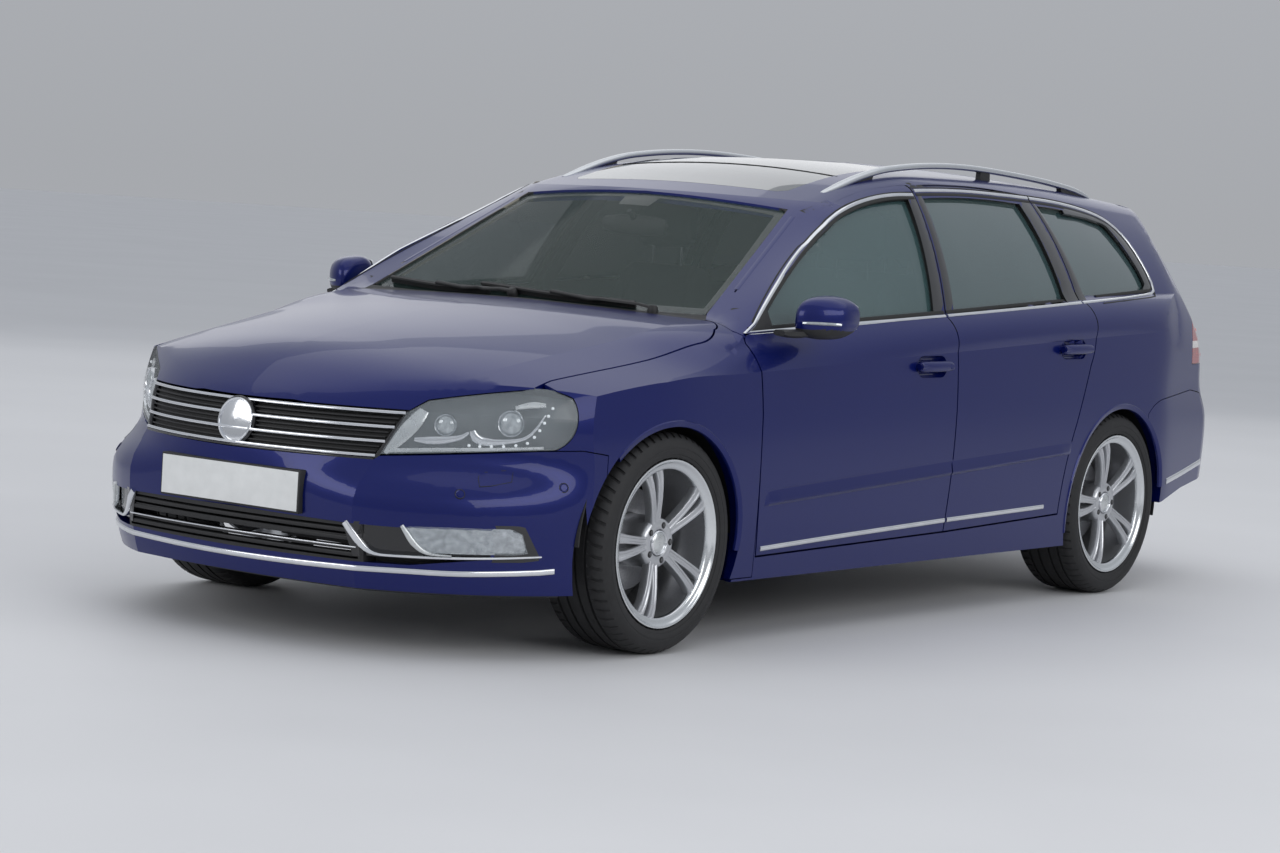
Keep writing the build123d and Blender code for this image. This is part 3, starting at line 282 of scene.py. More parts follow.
def tangent_arc(start, end, tangent):
    """Points of the arc that leaves its start along a tangent, and the tangent at its end."""
    s, t = complex(*start), complex(*tangent)
    t /= abs(t)
    chord = complex(*end) - s
    half = math.atan2((chord / t).imag, (chord / t).real)
    points = []
    for i in range(ARC_STEPS + 1):
        f = i / ARC_STEPS
        if abs(half) < 1e-6:
            p = s + chord * f
        else:
            r = abs(chord) / (2 * math.sin(half))
            p = s + t * (r * math.sin(2 * half * f) + 1j * r * (1 - math.cos(2 * half * f)))
        points.append((p.real, p.imag))
    out = t * complex(math.cos(2 * half), math.sin(2 * half))
    return points, (out.real, out.imag)


def inside_box(place):
    """Draws nose and tail in by millimetres, so that what lies on them stays in the CAD box."""
    for end, share in ENDS:
        if place.x * end > end * end:
            place.x = end + (place.x - end) * share
    return place


class Part:
    """One smooth surface of the body, with its own normals, mirrored to both sides."""

    def __init__(self, kind, rows):
        self.kind = kind
        self.points, self.normals, self.faces = [], [], []
        grid = [[inside_box(Vector(p)) for p in row] for row in rows]
        n, m = len(grid), len(grid[0])
        for flip in (1, -1):
            a = len(self.points)
            for i in range(n):
                for j in range(m):
                    along = grid[min(i + 1, n - 1)][j] - grid[max(i - 1, 0)][j]
                    across = grid[i][min(j + 1, m - 1)] - grid[i][max(j - 1, 0)]
                    p = grid[i][j]
                    q = along.cross(across).normalized()
                    if q.dot(p - Vector((p.x * 0.6, 0, 0.6))) < 0:
                        q = -q
                    self.points.append(Vector((p.x, p.y * flip, p.z)))
                    self.normals.append(Vector((q.x, q.y * flip, q.z)))
            self.faces += [(a + i * m + j, a + i * m + j + 1, a + (i + 1) * m + j + 1, a + (i + 1) * m + j)
                           for i in range(n - 1) for j in range(m - 1)]
        self.tree = BVHTree.FromPolygons(self.points, self.faces)

    def read(self, hit):
        """Place, smooth normal and distance of what the tree found."""
        place, _, index, away = hit
        if place is None:
            return None
        corners = self.faces[index]
        weights = poly_3d_calc([self.points[k] for k in corners], place)
        normal = sum((self.normals[k] * w for k, w in zip(corners, weights)), Vector())
        return place, normal.normalized(), away

    def nearest(self, place, reach=0.05):
        return self.read(self.tree.find_nearest(place, reach))

    def cast(self, start, way):
        return self.read(self.tree.ray_cast(start, way))


def body_parts():
    tops, shoulders, flanks, roofs, gutters, sides = groups = [[] for _ in range(6)]
    for x, ridge_z, brow_y, brow_z, mid_y, mid_z, crease_y, crease_z, waist_y, sill_y in curve_through(TUB, 10):
        tops.append([(x, *p) for p in tangent_arc((0, ridge_z), (brow_y, brow_z), (1, 0))[0]])
        shoulders.append([(x, *p) for p in arc((brow_y, brow_z), (mid_y, mid_z), (crease_y, crease_z))])
        flanks.append([(x, *p) for p in arc((crease_y, crease_z), (waist_y, 0.6), (sill_y, SILL_Z))])
    for x, roof_z, edge_y, edge_z, gutter_y, gutter_z, mid_y, mid_z, foot_y in curve_through(GLASSHOUSE, 10):
        roof, out = tangent_arc((0, roof_z), (edge_y, edge_z), (1, 0))
        roofs.append([(x, *p) for p in roof])
        gutters.append([(x, *p) for p in tangent_arc((edge_y, edge_z), (gutter_y, gutter_z), out)[0]])
        sides.append([(x, *p) for p in arc((gutter_y, gutter_z), (mid_y, mid_z), (foot_y, BELT_Z))])
    parts = [Part("tub" if k < 3 else "house", g) for k, g in enumerate(groups)]
    for kind, table, side in (
        ("nose", NOSE, (1.15, 0.945)), ("screen", SCREEN, (-0.3, 1.05)), ("tail", TAIL, (-1.25, 0.965)),
    ):
        wides, corners, runs = [], [], []
        for z, centre_x, edge_x, edge_y, corner_x, corner_y, turn in curve_through(table, 8):
            wide, out = tangent_arc((centre_x, 0), (edge_x, edge_y), (0, 1))
            wides.append([(*p, z) for p in wide])
            out = complex(*out) * cmath.rect(1, math.radians(turn))
            corner, _ = tangent_arc((edge_x, edge_y), (corner_x, corner_y), (out.real, out.imag))
            corners.append([(*p, z) for p in corner])
            runs.append([(corner_x + (side[0] - corner_x) * i / 4, corner_y + (side[1] - corner_y) * i / 4, z)
                         for i in range(5)])
        parts += [Part(kind, g) for g in (wides, corners, runs)]
    return parts


PARTS = body_parts()


def surface(start, way):
    """Where a ray from outside meets the body, and the normal there."""
    way = way.normalized()
    best = None
    for group in (("tub", "nose", "tail"), ("house", "screen", "tail")):
        entry = None
        for kind in group:
            if entry is None and kind != group[0] and abs(way.x) < 0.5:
                break
            hits = [h for h in (p.cast(start, way) for p in PARTS if p.kind == kind) if h and h[1].dot(way) < 0]
            if hits:
                hit = min(hits, key=lambda h: h[2])
                if entry is None or hit[2] > entry[2]:
                    entry = hit
        if entry and (best is None or entry[2] < best[2]):
            best = entry
    return best


def refine(bm):
    """Splits every long edge."""
    for _ in range(6):
        long = [e for e in bm.edges if e.calc_length() > LONGEST_EDGE]
        if not long:
            break
        bmesh.ops.subdivide_edges(bm, edges=long, cuts=1)
        bmesh.ops.triangulate(bm, faces=[f for f in bm.faces if len(f.verts) > 3])


def part_for(face, reach):
    """The smooth surface that a face lies on, or None."""
    middle = face.calc_center_median()
    best = None
    for index, part in enumerate(PARTS):
        hit = part.nearest(middle, reach)
        if hit and hit[1].dot(face.normal) > SAME_WAY and (best is None or hit[2] < best[1]):
            best = (index, hit[2])
    return None if best is None else best[0]


def eased_normal(place, own):
    """The surface's normal, eased into the next surface's where they meet at a shallow angle."""
    first = PARTS[own].nearest(place)[1]
    out = first.copy()
    for kind in ("tub", "house", "nose", "tail"):
        if kind == PARTS[own].kind:
            continue
        hits = [p.nearest(place, LOOSE_REACH) for p in PARTS if p.kind == kind]
        hits = [h for h in hits if h and h[1].dot(first) > SHALLOW]
        if hits:
            hit = min(hits, key=lambda h: h[2])
            out += hit[1] * math.exp(-hit[2] / EASE)
    return out.normalized()


OUTER = {}


def smooth_copy(node, mats, snap=True, pick=None, name=None, shape=None, cuts=()):
    """A copy of a CAD node whose outer faces lie on the smooth surface."""
    bm = bmesh.new()
    bm.from_mesh(nodes[node].data)
    bmesh.ops.remove_doubles(bm, verts=bm.verts, dist=WELD)
    for place, normal in cuts:
        bmesh.ops.bisect_plane(bm, geom=bm.verts[:] + bm.edges[:] + bm.faces[:], plane_co=place, plane_no=normal)
    bmesh.ops.triangulate(bm, faces=[f for f in bm.faces if len(f.verts) > 3])
    refine(bm)
    bm.normal_update()
    bm.faces.index_update()
    owner = [part_for(f, REACH if snap else LOOSE_REACH) for f in bm.faces]
    for v in bm.verts if snap else ():
        wanted = sorted({owner[f.index] for f in v.link_faces if owner[f.index] is not None})
        place = v.co.copy()
        for _ in range(3 if len(wanted) > 1 else 1):
            for k in wanted:
                hit = PARTS[k].nearest(place)
                place = hit[0] if hit else place
        if (place - v.co).length < MOST_MOVE:
            v.co = place
    if shape:
        for v in bm.verts:
            v.co = shape(v.co)
    bm.normal_update()
    for f in bm.faces:
        f.smooth = True
        if pick:
            f.material_index = pick(f, owner[f.index] is not None)
    mesh = bpy.data.meshes.new(name or node + "_skin")
    bm.to_mesh(mesh)
    bm.free()
    custom, known = [], {}
    for poly in mesh.polygons:
        part = owner[poly.index]
        for index in poly.vertices:
            if part is not None and (index, part) not in known:
                known[index, part] = eased_normal(mesh.vertices[index].co, part)
            custom.append(poly.normal.copy() if part is None else known[index, part])
    mesh.normals_split_custom_set(custom)
    for m in mats:
        mesh.materials.append(m)
    obj = placed(mesh.name, mesh)
    OUTER[obj.name] = [k is not None for k in owner]
    return obj


BODY_OF = {n: b for b, members in frame["record"]["behaviour"]["bodies"].items() for n in members}
SLOT_OF = {s["node"]: s["material_slot"] for s in frame["record"]["subparts"]}


def dress(obj, *replaced, body=None, slot=None):
    """Says what a piece rides on and what it stands for; slot, the finish it would take, is not used."""
    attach(obj, body or BODY_OF[replaced[0]])
    if replaced:
        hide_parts(*replaced)


def sided(*names):
    return [f"{n}_{side}" for n in names for side, _ in SIDES]


SEAT_X, SEAT_HALF_Y, SEAT_LOW_Z, SEAT_HIGH_Z = 2.372, 0.268, 0.376, 0.506


def plate_seat(co):
    """The bumper's middle is flat behind the number plate."""
    if abs(co.y) < SEAT_HALF_Y and SEAT_LOW_Z < co.z < SEAT_HIGH_Z and co.x > SEAT_X:
        return Vector((SEAT_X, co.y, co.z))
    return co


def lined(face, outer):
    """Which finish a face of the body takes: paint, a dark lining, a pale one above the belt, or black."""
    if outer:
        return 0
    n, c = face.normal, face.calc_center_median()
    beside = -1.62 < c.x < 1.1 and c.z > 0.935 and abs(c.y) > 0.5 and abs(n.z) < 0.95
    behind = c.x < -1.8 and c.z > 1.05 and n.x < 0.5
    if abs(n.y) < 0.6 and (beside or behind):
        return 3
    inwards = n.y * c.y < 0 and abs(n.y) > 0.5 and -2.2 < c.x < 1.1
    under_roof = n.z < -0.5 and c.z > 1.2
    forwards = n.x > 0.5 and c.x < -1.8
    if not (inwards or under_roof or forwards):
        return 0
    return 2 if c.z > LINING_Z and not -0.2 < c.x < 0.05 else 1


def level(*heights):
    return [((0, 0, z), (0, 0, 1)) for z in heights]


LINING_Z = 1.0
BAND = (0.87, 0.896)  # the white band across the tail lamps
plate_cuts = [((0, y, 0), (0, 1, 0)) for y in (-SEAT_HALF_Y, SEAT_HALF_Y)] + level(SEAT_LOW_Z, SEAT_HIGH_Z)
dress(smooth_copy("front_bumper", [PAINT], shape=plate_seat, cuts=plate_cuts), "front_bumper")
for node in ("bonnet", "fenders", "rear_bumper"):
    dress(smooth_copy(node, [PAINT]), node)
for node in ("tailgate", "side_frames", "roof_panel", *sided("front_door", "rear_door")):
    dress(smooth_copy(node, [PAINT, DASH, BEIGE, SEAL], pick=lined, cuts=level(LINING_Z)), node)
for names, finish in (
    (["windscreen"], CLEAR_GLASS), (["roof_glass"], ROOF_GLASS), (["quarter_glass", "tailgate_glass"], DARK_GLASS),
    (sided("front_door_glass"), SIDE_GLASS), (sided("rear_door_glass"), DARK_GLASS),
):
    for node in names:
        dress(smooth_copy(node, [finish], snap=False), node)
for node in ("tail_lamps", "tailgate_lamps"):
    dress(smooth_copy(node, [RED_LENS, WHITE_LENS], cuts=level(*BAND),
                      pick=lambda f, outer: int(BAND[0] < f.calc_center_median().z < BAND[1])), node)
for mat, names in (
    (BLACK, ["lower_grille", "front_apron", "cowl", "wheel_liners"]), (SATIN_RAIL, ["roof_rails"]),
    (STEEL, ["underbody", "front_subframe", "struts", "rear_axle"]), (CAST, ["exhaust", "engine", *sided("knuckle")]),
    (TANK, ["fuel_tank"]), (DASH, ["dashboard"]), (LEATHER, ["steering_wheel"]), (CLOTH, ["front_seats", "rear_seat"]),
    (PAINT, sided("door_mirror")), (ALLOY, sided("front_rim", "rear_rim")), (RUBBER, sided("front_tyre", "rear_tyre")),
):
    for node in names:
        nodes[node].data.materials.clear()
        nodes[node].data.materials.append(mat)

# ---------------------------------------------------------------- mesh helpers


def add_mesh(name, verts, faces, mats, indices=None, angle=38):
    """A mesh object with its normals outward and its edges sharp beyond an angle."""
    mesh = bpy.data.meshes.new(name)
    mesh.from_pydata([tuple(v) for v in verts], [], faces)
    for m in mats:
        mesh.materials.append(m)
    for poly, k in zip(mesh.polygons, indices or ()):
        poly.material_index = k
    bm = bmesh.new()
    bm.from_mesh(mesh)
    bmesh.ops.recalc_face_normals(bm, faces=bm.faces)
    for f in bm.faces:
        f.smooth = True
    bm.to_mesh(mesh)
    bm.free()
    mesh.set_sharp_from_angle(angle=math.radians(angle))
    return placed(name, mesh)


def piece(name, shape, mat, body="body", slot=None, both=True, replaced=None, extra=(), **options):
    """One piece, or a left and a right one, riding on its body."""
    verts, faces = shape
    for side, k in SIDES if both else (("", 1),):
        ending = "_" + side if side else ""
        obj = add_mesh(name + ending, [(v[0], v[1] * k, v[2]) for v in verts], faces, [mat, *extra], **options)
        gone = [replaced if replaced in nodes else replaced + ending] if replaced else []
        on = body + ending if body + ending in frame["bodies"] else body
        dress(obj, *gone, body=on, slot=slot or SLOTS[mat.name])


def single(*args, **options):
    """A piece that spans the middle line, or stands on one side alone."""
    piece(*args, both=False, **options)


def joined(*shapes):
    """Several shapes as one."""
    verts, faces = [], []
    for v, f in shapes:
        start = len(verts)
        verts += v
        faces += [tuple(start + k for k in face) for face in f]
    return verts, faces


def skin(rings, closed=False):
    """Faces between rings of places, with a cap on either end or closed round."""
    n, m = len(rings), len(rings[0])
    faces = [(i * m + j, i * m + (j + 1) % m, (i + 1) % n * m + (j + 1) % m, (i + 1) % n * m + j)
             for i in range(n if closed else n - 1) for j in range(m)]
    if not closed:
        faces += [tuple(range(m)), tuple(range((n - 1) * m, n * m))]
    return [v for ring in rings for v in ring], faces


def sweep(points, ups, section, scales=None, closed=False):
    """A section of (across, up) pairs carried along a path."""
    n = len(points)
    rings = []
    for i, point in enumerate(points):
        before = points[i - 1] if i or closed else point
        after = points[(i + 1) % n] if i < n - 1 or closed else point
        ahead = (after - before).normalized()
        side = ups[i].cross(ahead).normalized()
        rise = ahead.cross(side)
        wide, high = scales[i] if scales else (1, 1)
        rings.append([point + side * (a * wide) + rise * (b * high) for a, b in section])
    return skin(rings, closed)


def mirrored(half):
    """A section from its left half, read from the lowest left corner."""
    return half + [(-a, b) for a, b in reversed(half)]


def ribbon(width, proud, sunk=0.003):
    """Section of a trim strip with rounded shoulders."""
    w = width / 2
    return mirrored([(-w, -sunk), (-w, proud * 0.3), (-w * 0.85, proud * 0.75), (-w * 0.5, proud)])


def oval(wide, high, count, power=1.0, phase=0.0):
    """Points of an ellipse, squarer with a power below 1."""
    angles = [TURN * (i + phase) / count for i in range(count)]
    return [(wide * math.copysign(abs(math.cos(a)) ** power, math.cos(a)),
             high * math.copysign(abs(math.sin(a)) ** power, math.sin(a))) for a in angles]


def turned_about(profile, place, axis, count=48):
    """A closed profile of (radius, along) pairs turned about an axis through a place."""
    axis = axis.normalized()
    side = axis.cross(Z).normalized()
    rise = side.cross(axis)
    outs = [side * math.cos(a) + rise * math.sin(a) for a in (TURN * i / count for i in range(count))]
    return skin([[place + out * r + axis * along for r, along in profile] for out in outs], True)


def hull_box(low, high, round_by):
    """A box between two corners, its edges rounded by a share of its thinnest side."""
    bm = bmesh.new()
    bmesh.ops.create_cube(bm, size=1)
    for v in bm.verts:
        v.co = Vector([(a + b) / 2 + c * (b - a) for a, b, c in zip(low, high, v.co)])
    size = min(abs(b - a) for a, b in zip(low, high))
    bmesh.ops.bevel(bm, geom=list(bm.edges), offset=size * round_by, segments=2, profile=0.6, affect="EDGES")
    bm.verts.index_update()
    out = [v.co.copy() for v in bm.verts], [tuple(v.index for v in f.verts) for f in bm.faces]
    bm.free()
    return out


def stretch_to(pairs, spacing, cuts=6):
    """A line of number rows, smoothed and with points about one spacing apart."""
    rows = curve_through(pairs, cuts) if cuts > 1 else [tuple(p) for p in pairs]
    out = [rows[0]]
    for row in rows[1:]:
        if math.dist(row[:2], out[-1][:2]) >= spacing:
            out.append(row)
    if math.dist(out[-1][:2], rows[-1][:2]) > spacing * 0.3:
        out.append(rows[-1])
    return out


SLANT = math.radians(40)
CORNER = Vector((math.cos(SLANT), math.sin(SLANT), 0))
ALONG = Vector((-math.sin(SLANT), math.cos(SLANT), 0))


def from_side(x, z):
    return Vector((x, 2, z)), -Y


def from_front(y, z):
    return Vector((3, y, z)), -X


def from_corner(t, z):
    return CORNER * 5 + ALONG * t + Z * z, -CORNER


def from_back(y, z):
    return Vector((-3.5, y, z)), X


def from_above(x, y):
    return Vector((x, y, 3)), -Z


def laid(start_of, rows, lift, spacing, cuts=6):
    """Places and normals on the body under a line of rows that start with two places."""
    hits = [surface(*start_of(*row[:2])) for row in stretch_to(rows, spacing, cuts)]
    return [h[0] + h[1] * lift for h in hits], [h[1] for h in hits]


def laid_strip(start_of, rows, section, lift=0.0, spacing=0.02, cuts=6):
    return sweep(*laid(start_of, rows, lift, spacing, cuts), section)


def tapered(rows, proud, lift, spacing=0.012, *, sunk):
    """A trim strip on the front corner whose width follows its rows of two places and a width."""
    widths = [(row[2], 1) for row in stretch_to(rows, spacing)]
    return sweep(*laid(from_corner, rows, lift, spacing), ribbon(1, proud, sunk), widths)


def across(start_of, z, end, steps, section, lift=0.0):
    """A strip across nose or tail at one height."""
    rows = [(-end + 2 * end * i / steps, z) for i in range(steps + 1)]
    return laid_strip(start_of, rows, section, lift, 0.01, 1)


def slab(grid, thick, round_by=0.0015):
    """A thin closed sheet: rows of (place, normal), its rim rolled over, and a back."""
    n, m = len(grid), len(grid[0])
    back = n * m
    verts = [p - q * (round_by if i in (0, n - 1) or j in (0, m - 1) else 0)
             for i, row in enumerate(grid) for j, (p, q) in enumerate(row)]
    verts += [p - q * thick for row in grid for p, q in row]
    faces = []
    for a in (i * m + j for i in range(n - 1) for j in range(m - 1)):
        faces += [(a, a + 1, a + m + 1, a + m), (a + back, a + back + m, a + back + m + 1, a + back + 1)]
    loop = list(range(m)) + [i * m + m - 1 for i in range(1, n)]
    loop += [(n - 1) * m + j for j in range(m - 2, -1, -1)] + [i * m for i in range(n - 2, 0, -1)]
    faces += [(a, b, b + back, a + back) for a, b in zip(loop, loop[1:] + loop[:1])]
    return verts, faces


def along_line(line, k):
    """The point a share of the way along a line of pairs, by length."""
    gaps = [math.dist(a, b) for a, b in zip(line, line[1:])]
    left = k * sum(gaps)
    for (a, b), gap in zip(zip(line, line[1:]), gaps):
        if left <= gap or b is line[-1]:
            f = min(left / gap, 1) if gap else 0
            return a[0] + (b[0] - a[0]) * f, a[1] + (b[1] - a[1]) * f
        left -= gap


def sheet_on(start_of, low_line, high_line, rows, cols, lift, thick):
    """A slab on the body between two lines, both given as pairs in the casting plane."""
    grid = [[] for _ in range(rows + 1)]
    for i, line in enumerate(grid):
        for j in range(cols + 1):
            a, b = along_line(low_line, j / cols), along_line(high_line, j / cols)
            u, v = (p + (q - p) * (i / rows) for p, q in zip(a, b))
            hit = surface(*start_of(u, v))
            line.append((hit[0] + hit[1] * (lift(u, v) if callable(lift) else lift), hit[1]))
    return slab(grid, thick)

# ---------------------------------------------------------------- side trim

WHEEL_Z, WHEEL_Y = 0.3225, 0.780
AXLES = {"front": 1.495, "rear": -1.216}
ARCH_RADIUS = 0.3585
BESIDE_BELT = 0.0115  # from the belt's chrome to the seal over it
WINDOW_LINE = (  # the middle of the chrome round the side windows
    (1.077, 0.922), (1.015, 0.958), (0.905, 1.029), (0.785, 1.100), (0.648, 1.175), (0.490, 1.246), (0.330, 1.303),
    (0.200, 1.338), (0.095, 1.359), (-0.080, 1.379), (-0.240, 1.388), (-0.480, 1.393), (-0.705, 1.390),
    (-0.930, 1.384), (-1.135, 1.374), (-1.320, 1.355), (-1.446, 1.330), (-1.520, 1.292), (-1.562, 1.240),
    (-1.590, 1.160), (-1.602, 1.100), (-1.590, 1.076), (-1.555, 1.067),
)
GLASS_TOP = arc((1.010, 0.940), (0.775, 1.088), (0.345, 1.286), 22)
GLASS_TOP += arc((0.345, 1.286), (0.130, 1.338), (-0.078, 1.357), 14)[1:] + [(-0.112, 1.358)]


def belt(*places):
    """The belt line's points at some x, 60 mm apart or more."""
    return stretch_to([(x, 0.922 + 0.05426 * (1.124 - x)) for x in places], 0.06, 1)


def trim(rows, section):
    return laid_strip(from_side, rows, section, 0, 0.028, 1)


def beside_glass(amount):
    """Places and normals that run beside the front door glass's upper edge."""
    points = []
    edge, normals = laid(from_side, GLASS_TOP, 0, 0.005, 1)
    for i, (p, n) in enumerate(zip(edge, normals)):
        along = edge[min(i + 1, len(edge) - 1)] - edge[max(i - 1, 0)]
        out = along.cross(n).normalized()
        out = -out if out.dot(p - Vector((0.4, 0.7, 1.1))) < 0 else out
        points.append(surface(p + out * amount + n * 0.05, -n)[0])
    return points, normals


strip = ribbon(0.0125, 0.0035)
window_rows = stretch_to(WINDOW_LINE, 0.03)
front_belt = belt(-0.028, 0.2, 0.4, 0.6, 0.8, 1.0, 1.055)
rear_belt = belt(-0.042, -0.3, -0.5, -0.7, -0.944)
rear_top = [(-0.134, 1.3832)] + [p for p in window_rows if -0.90 < p[0] < -0.14] + [(-0.903, 1.3852)]
quarter_rows = [(-0.911, 1.3848)] + [p for p in window_rows if p[0] < -0.93] + belt(-1.50, -1.3, -1.1, -0.955)
belt_line = laid(from_side, front_belt + [(1.080, 0.9215)], 0, 0.028, 1)
points, ups = (low + high for low, high in zip(belt_line, beside_glass(0.0145)))
piece("front_window_chrome", sweep(points, ups, strip), CHROME, "front_door")
piece("rear_window_chrome", joined(trim(rear_top, strip), trim(rear_belt, strip)), CHROME, "rear_door")
piece("quarter_window_chrome", trim(quarter_rows, strip), CHROME)
for name, on, rows, spacing, section in (
    ("front_door_strip", "front_door", [(1.028, 0.284), (0.60, 0.300), (-0.036, 0.320)], 0.06, ribbon(0.016, 0.005)),
    ("rear_door_strip", "rear_door", [(-0.050, 0.3205), (-0.40, 0.329), (-0.690, 0.336)], 0.06, ribbon(0.016, 0.005)),
    ("rear_bumper_strip", "body", [(-1.616, 0.387), (-1.80, 0.406), (-2.06, 0.438)], 0.05, ribbon(0.022, 0.004)),
):
    piece(name, laid_strip(from_side, rows, section, 0, spacing), CHROME, on)


def arch_lip(axle_x, low_a, high_a):
    """The rolled edge of a wheel arch, between two angles from straight up."""
    points = []
    for i in range(49):
        a = math.radians(low_a + (high_a - low_a) * i / 48)
        x, z = axle_x + ARCH_RADIUS * math.sin(a), WHEEL_Z + ARCH_RADIUS * math.cos(a)
        hit = surface(*from_side(x + 0.010 * math.sin(a), z + 0.010 * math.cos(a)))
        points.append(Vector((x, hit[0].y - 0.004, z)))
    section = [(-0.0012, -0.018), (-0.0015, 0.004), (0.002, 0.0075), (0.008, 0.0065), (0.018, 0.003), (0.020, -0.004)]
    return sweep(points, [Y] * 49, section)


piece("front_arch_lip", arch_lip(AXLES["front"], -96, 44), PAINT)
piece("rear_arch_lip", arch_lip(AXLES["rear"], -82, 104), PAINT)

# ---------------------------------------------------------------- grille

GRILLE_LOW, GRILLE_HIGH = 0.548, 0.682
BOSS, BOSS_AXIS = Vector((2.3684, 0, 0.617)), Vector((1, 0, 0.16))


def grille_half(z):
    return 0.440 + (z - 0.553) * (0.487 - 0.440) / (0.677 - 0.553)


def across_front(z, end, section, lift=0.0):
    return across(from_front, z, end, 64, section, lift)


grid = []
for i in range(9):
    z = GRILLE_LOW + (GRILLE_HIGH - GRILLE_LOW) * i / 8
    hits = [surface(*from_front(grille_half(z) * (j / 24 - 1), z)) for j in range(49)]
    grid.append([(h[0] - h[1] * 0.016, h[1]) for h in hits])
single("grille_back", slab(grid, 0.012), SEAL, replaced="radiator_grille")
bars = [across_front(z, grille_half(z) - 0.004, ribbon(0.0088, 0.0045, 0.010))
        for z in (0.6765, 0.6365, 0.5965, 0.5565)]
single("grille_bars", joined(*bars), CHROME)
fins = [across_front(z, grille_half(z) - 0.012, ribbon(0.005, 0.002, 0.012), -0.008)
        for z in (0.663, 0.650, 0.623, 0.610, 0.583, 0.570)]
single("grille_fins", joined(*fins), BLACK)
edges = []
for side in (1, -1):
    rows = [(side * grille_half(z), z) for z in (0.550, 0.585, 0.62, 0.655, 0.681)]
    edges.append(laid_strip(from_front, rows, ribbon(0.012, 0.003, 0.012), -0.004, 0.02, 1))
edges.append(across_front(0.5485, 0.436, ribbon(0.007, 0.003, 0.012), -0.002))
single("grille_frame", joined(*edges), GLOSS_BLACK)
for name, mat, count, profile in (
    ("badge_seat", GLOSS_BLACK, 48, [(0, -0.03), (0.070, -0.03), (0.070, -0.002), (0.067, 0.001), (0, 0.001)]),
    ("badge_ring", CHROME, 64, [(0.0565, 0), (0.0640, 0), (0.0640, 0.004), (0.0625, 0.0065), (0.0600, 0.0072),
                                (0.0575, 0.006), (0.0565, 0.003)]),
    ("badge_disc", CHROME, 64, [(0, 0.0005), (0.0565, 0.0005), (0.0565, 0.0025), (0.045, 0.0045), (0.02, 0.0055),
                                (0, 0.0058)]),
):
    single(name, turned_about(profile, BOSS, BOSS_AXIS, count), mat)

# ---------------------------------------------------------------- front bumper

LIP = [(-0.822, 0.262), (-0.80, 0.257), (-0.67, 0.2485), (-0.54, 0.2485), (-0.40, 0.246), (-0.2, 0.2415), (0, 0.240)]
LIP += [(-y, z) for y, z in reversed(LIP[:-1])]
FOG_LOW = [(-1.010, 0.3285), (-0.985, 0.309), (-0.95, 0.3035), (-0.72, 0.3065), (-0.690, 0.311)]
FOG_TOP = [(-1.028, 0.3735), (-0.99, 0.3765), (-0.90, 0.3785), (-0.74, 0.3785), (-0.708, 0.366)]
FOG_CHROME = ((-1.196, 0.373, 0.020), (-1.178, 0.350, 0.021), (-1.155, 0.322, 0.020), (-1.132, 0.302, 0.015),
              (-1.112, 0.2935, 0.010), (-1.08, 0.2905, 0.0085), (-0.90, 0.2925, 0.008), (-0.75, 0.2975, 0.007),
              (-0.652, 0.3025, 0.006))
FOG_BEZEL = ((-1.040, 0.377, 0.010), (-1.025, 0.355, 0.014), (-1.008, 0.332, 0.016), (-0.985, 0.312, 0.013),
             (-0.955, 0.301, 0.007), (-0.90, 0.2995, 0.004))
WASHER = [(-0.834, 0.526), (-0.790, 0.533), (-0.742, 0.537), (-0.734, 0.531), (-0.745, 0.506), (-0.752, 0.500),
          (-0.80, 0.494), (-0.833, 0.491), (-0.842, 0.497), (-0.838, 0.512)]


def sensor(name, hit):
    """A parking sensor and the seal round it."""
    for ending, mat, profile in (
        ("", PAINT, [(0, -0.004), (0.0125, -0.004), (0.0125, 0.0006), (0.0115, 0.0016), (0.0095, 0.0008),
                     (0.009, 0.0018), (0, 0.0024)]),
        ("_rim", SEAL, [(0.0125, -0.003), (0.0145, -0.003), (0.0145, 0.0006), (0.0125, 0.0006)]),
    ):
        piece(name + ending, turned_about(profile, *hit[:2], 24), mat)


single("intake_strip", across_front(0.3055, 0.436, ribbon(0.0045, 0.002, 0.006)), CHROME)
slats = [across_front(z, 0.448, ribbon(0.012, 0.003, 0.016), -0.004) for z in (0.283, 0.328, 0.350)]
single("intake_slats", joined(*slats), BLACK)
single("lip_strip", laid_strip(from_front, LIP, ribbon(0.017, 0.005)), CHROME)
fog_panel = sheet_on(from_corner, [(-1.170, 0.280), (-1.00, 0.280), (-0.70, 0.285), (-0.650, 0.292)],
                     [(-1.205, 0.376), (-1.00, 0.386), (-0.72, 0.388), (-0.700, 0.384)], 6, 30,
                     lambda t, z: -0.012 if -1.150 < t < -0.79 else 0.0015, 0.006)
piece("fog_panel", fog_panel, GLOSS_BLACK, replaced="fog_lamps")
piece("fog_chrome", tapered(FOG_CHROME, 0.005, 0.002, sunk=0.014), CHROME)
piece("fog_reflector", sheet_on(from_corner, FOG_LOW, FOG_TOP, 5, 34,
                                lambda t, z: 0.001 if t < -0.79 else 0.0025, 0.010), FACETS)
piece("fog_cover", sheet_on(from_corner, FOG_LOW, FOG_TOP, 6, 24, 0.005, 0.003), LENS)
piece("fog_bezel", tapered(FOG_BEZEL, 0.004, 0.004, sunk=0.012), SATIN)
for name, t, z in (("inner_sensor", -0.886, 0.470), ("outer_sensor", -0.5987, 0.495)):
    sensor(name, surface(*from_corner(t, z)))
points, ups = laid(from_corner, WASHER, 0.0003, 0.012, 1)
seam = mirrored([(-0.0011, -0.002), (-0.0011, 0.0002)])
piece("washer_seam", sweep(points, ups, seam, closed=True), SEAL)

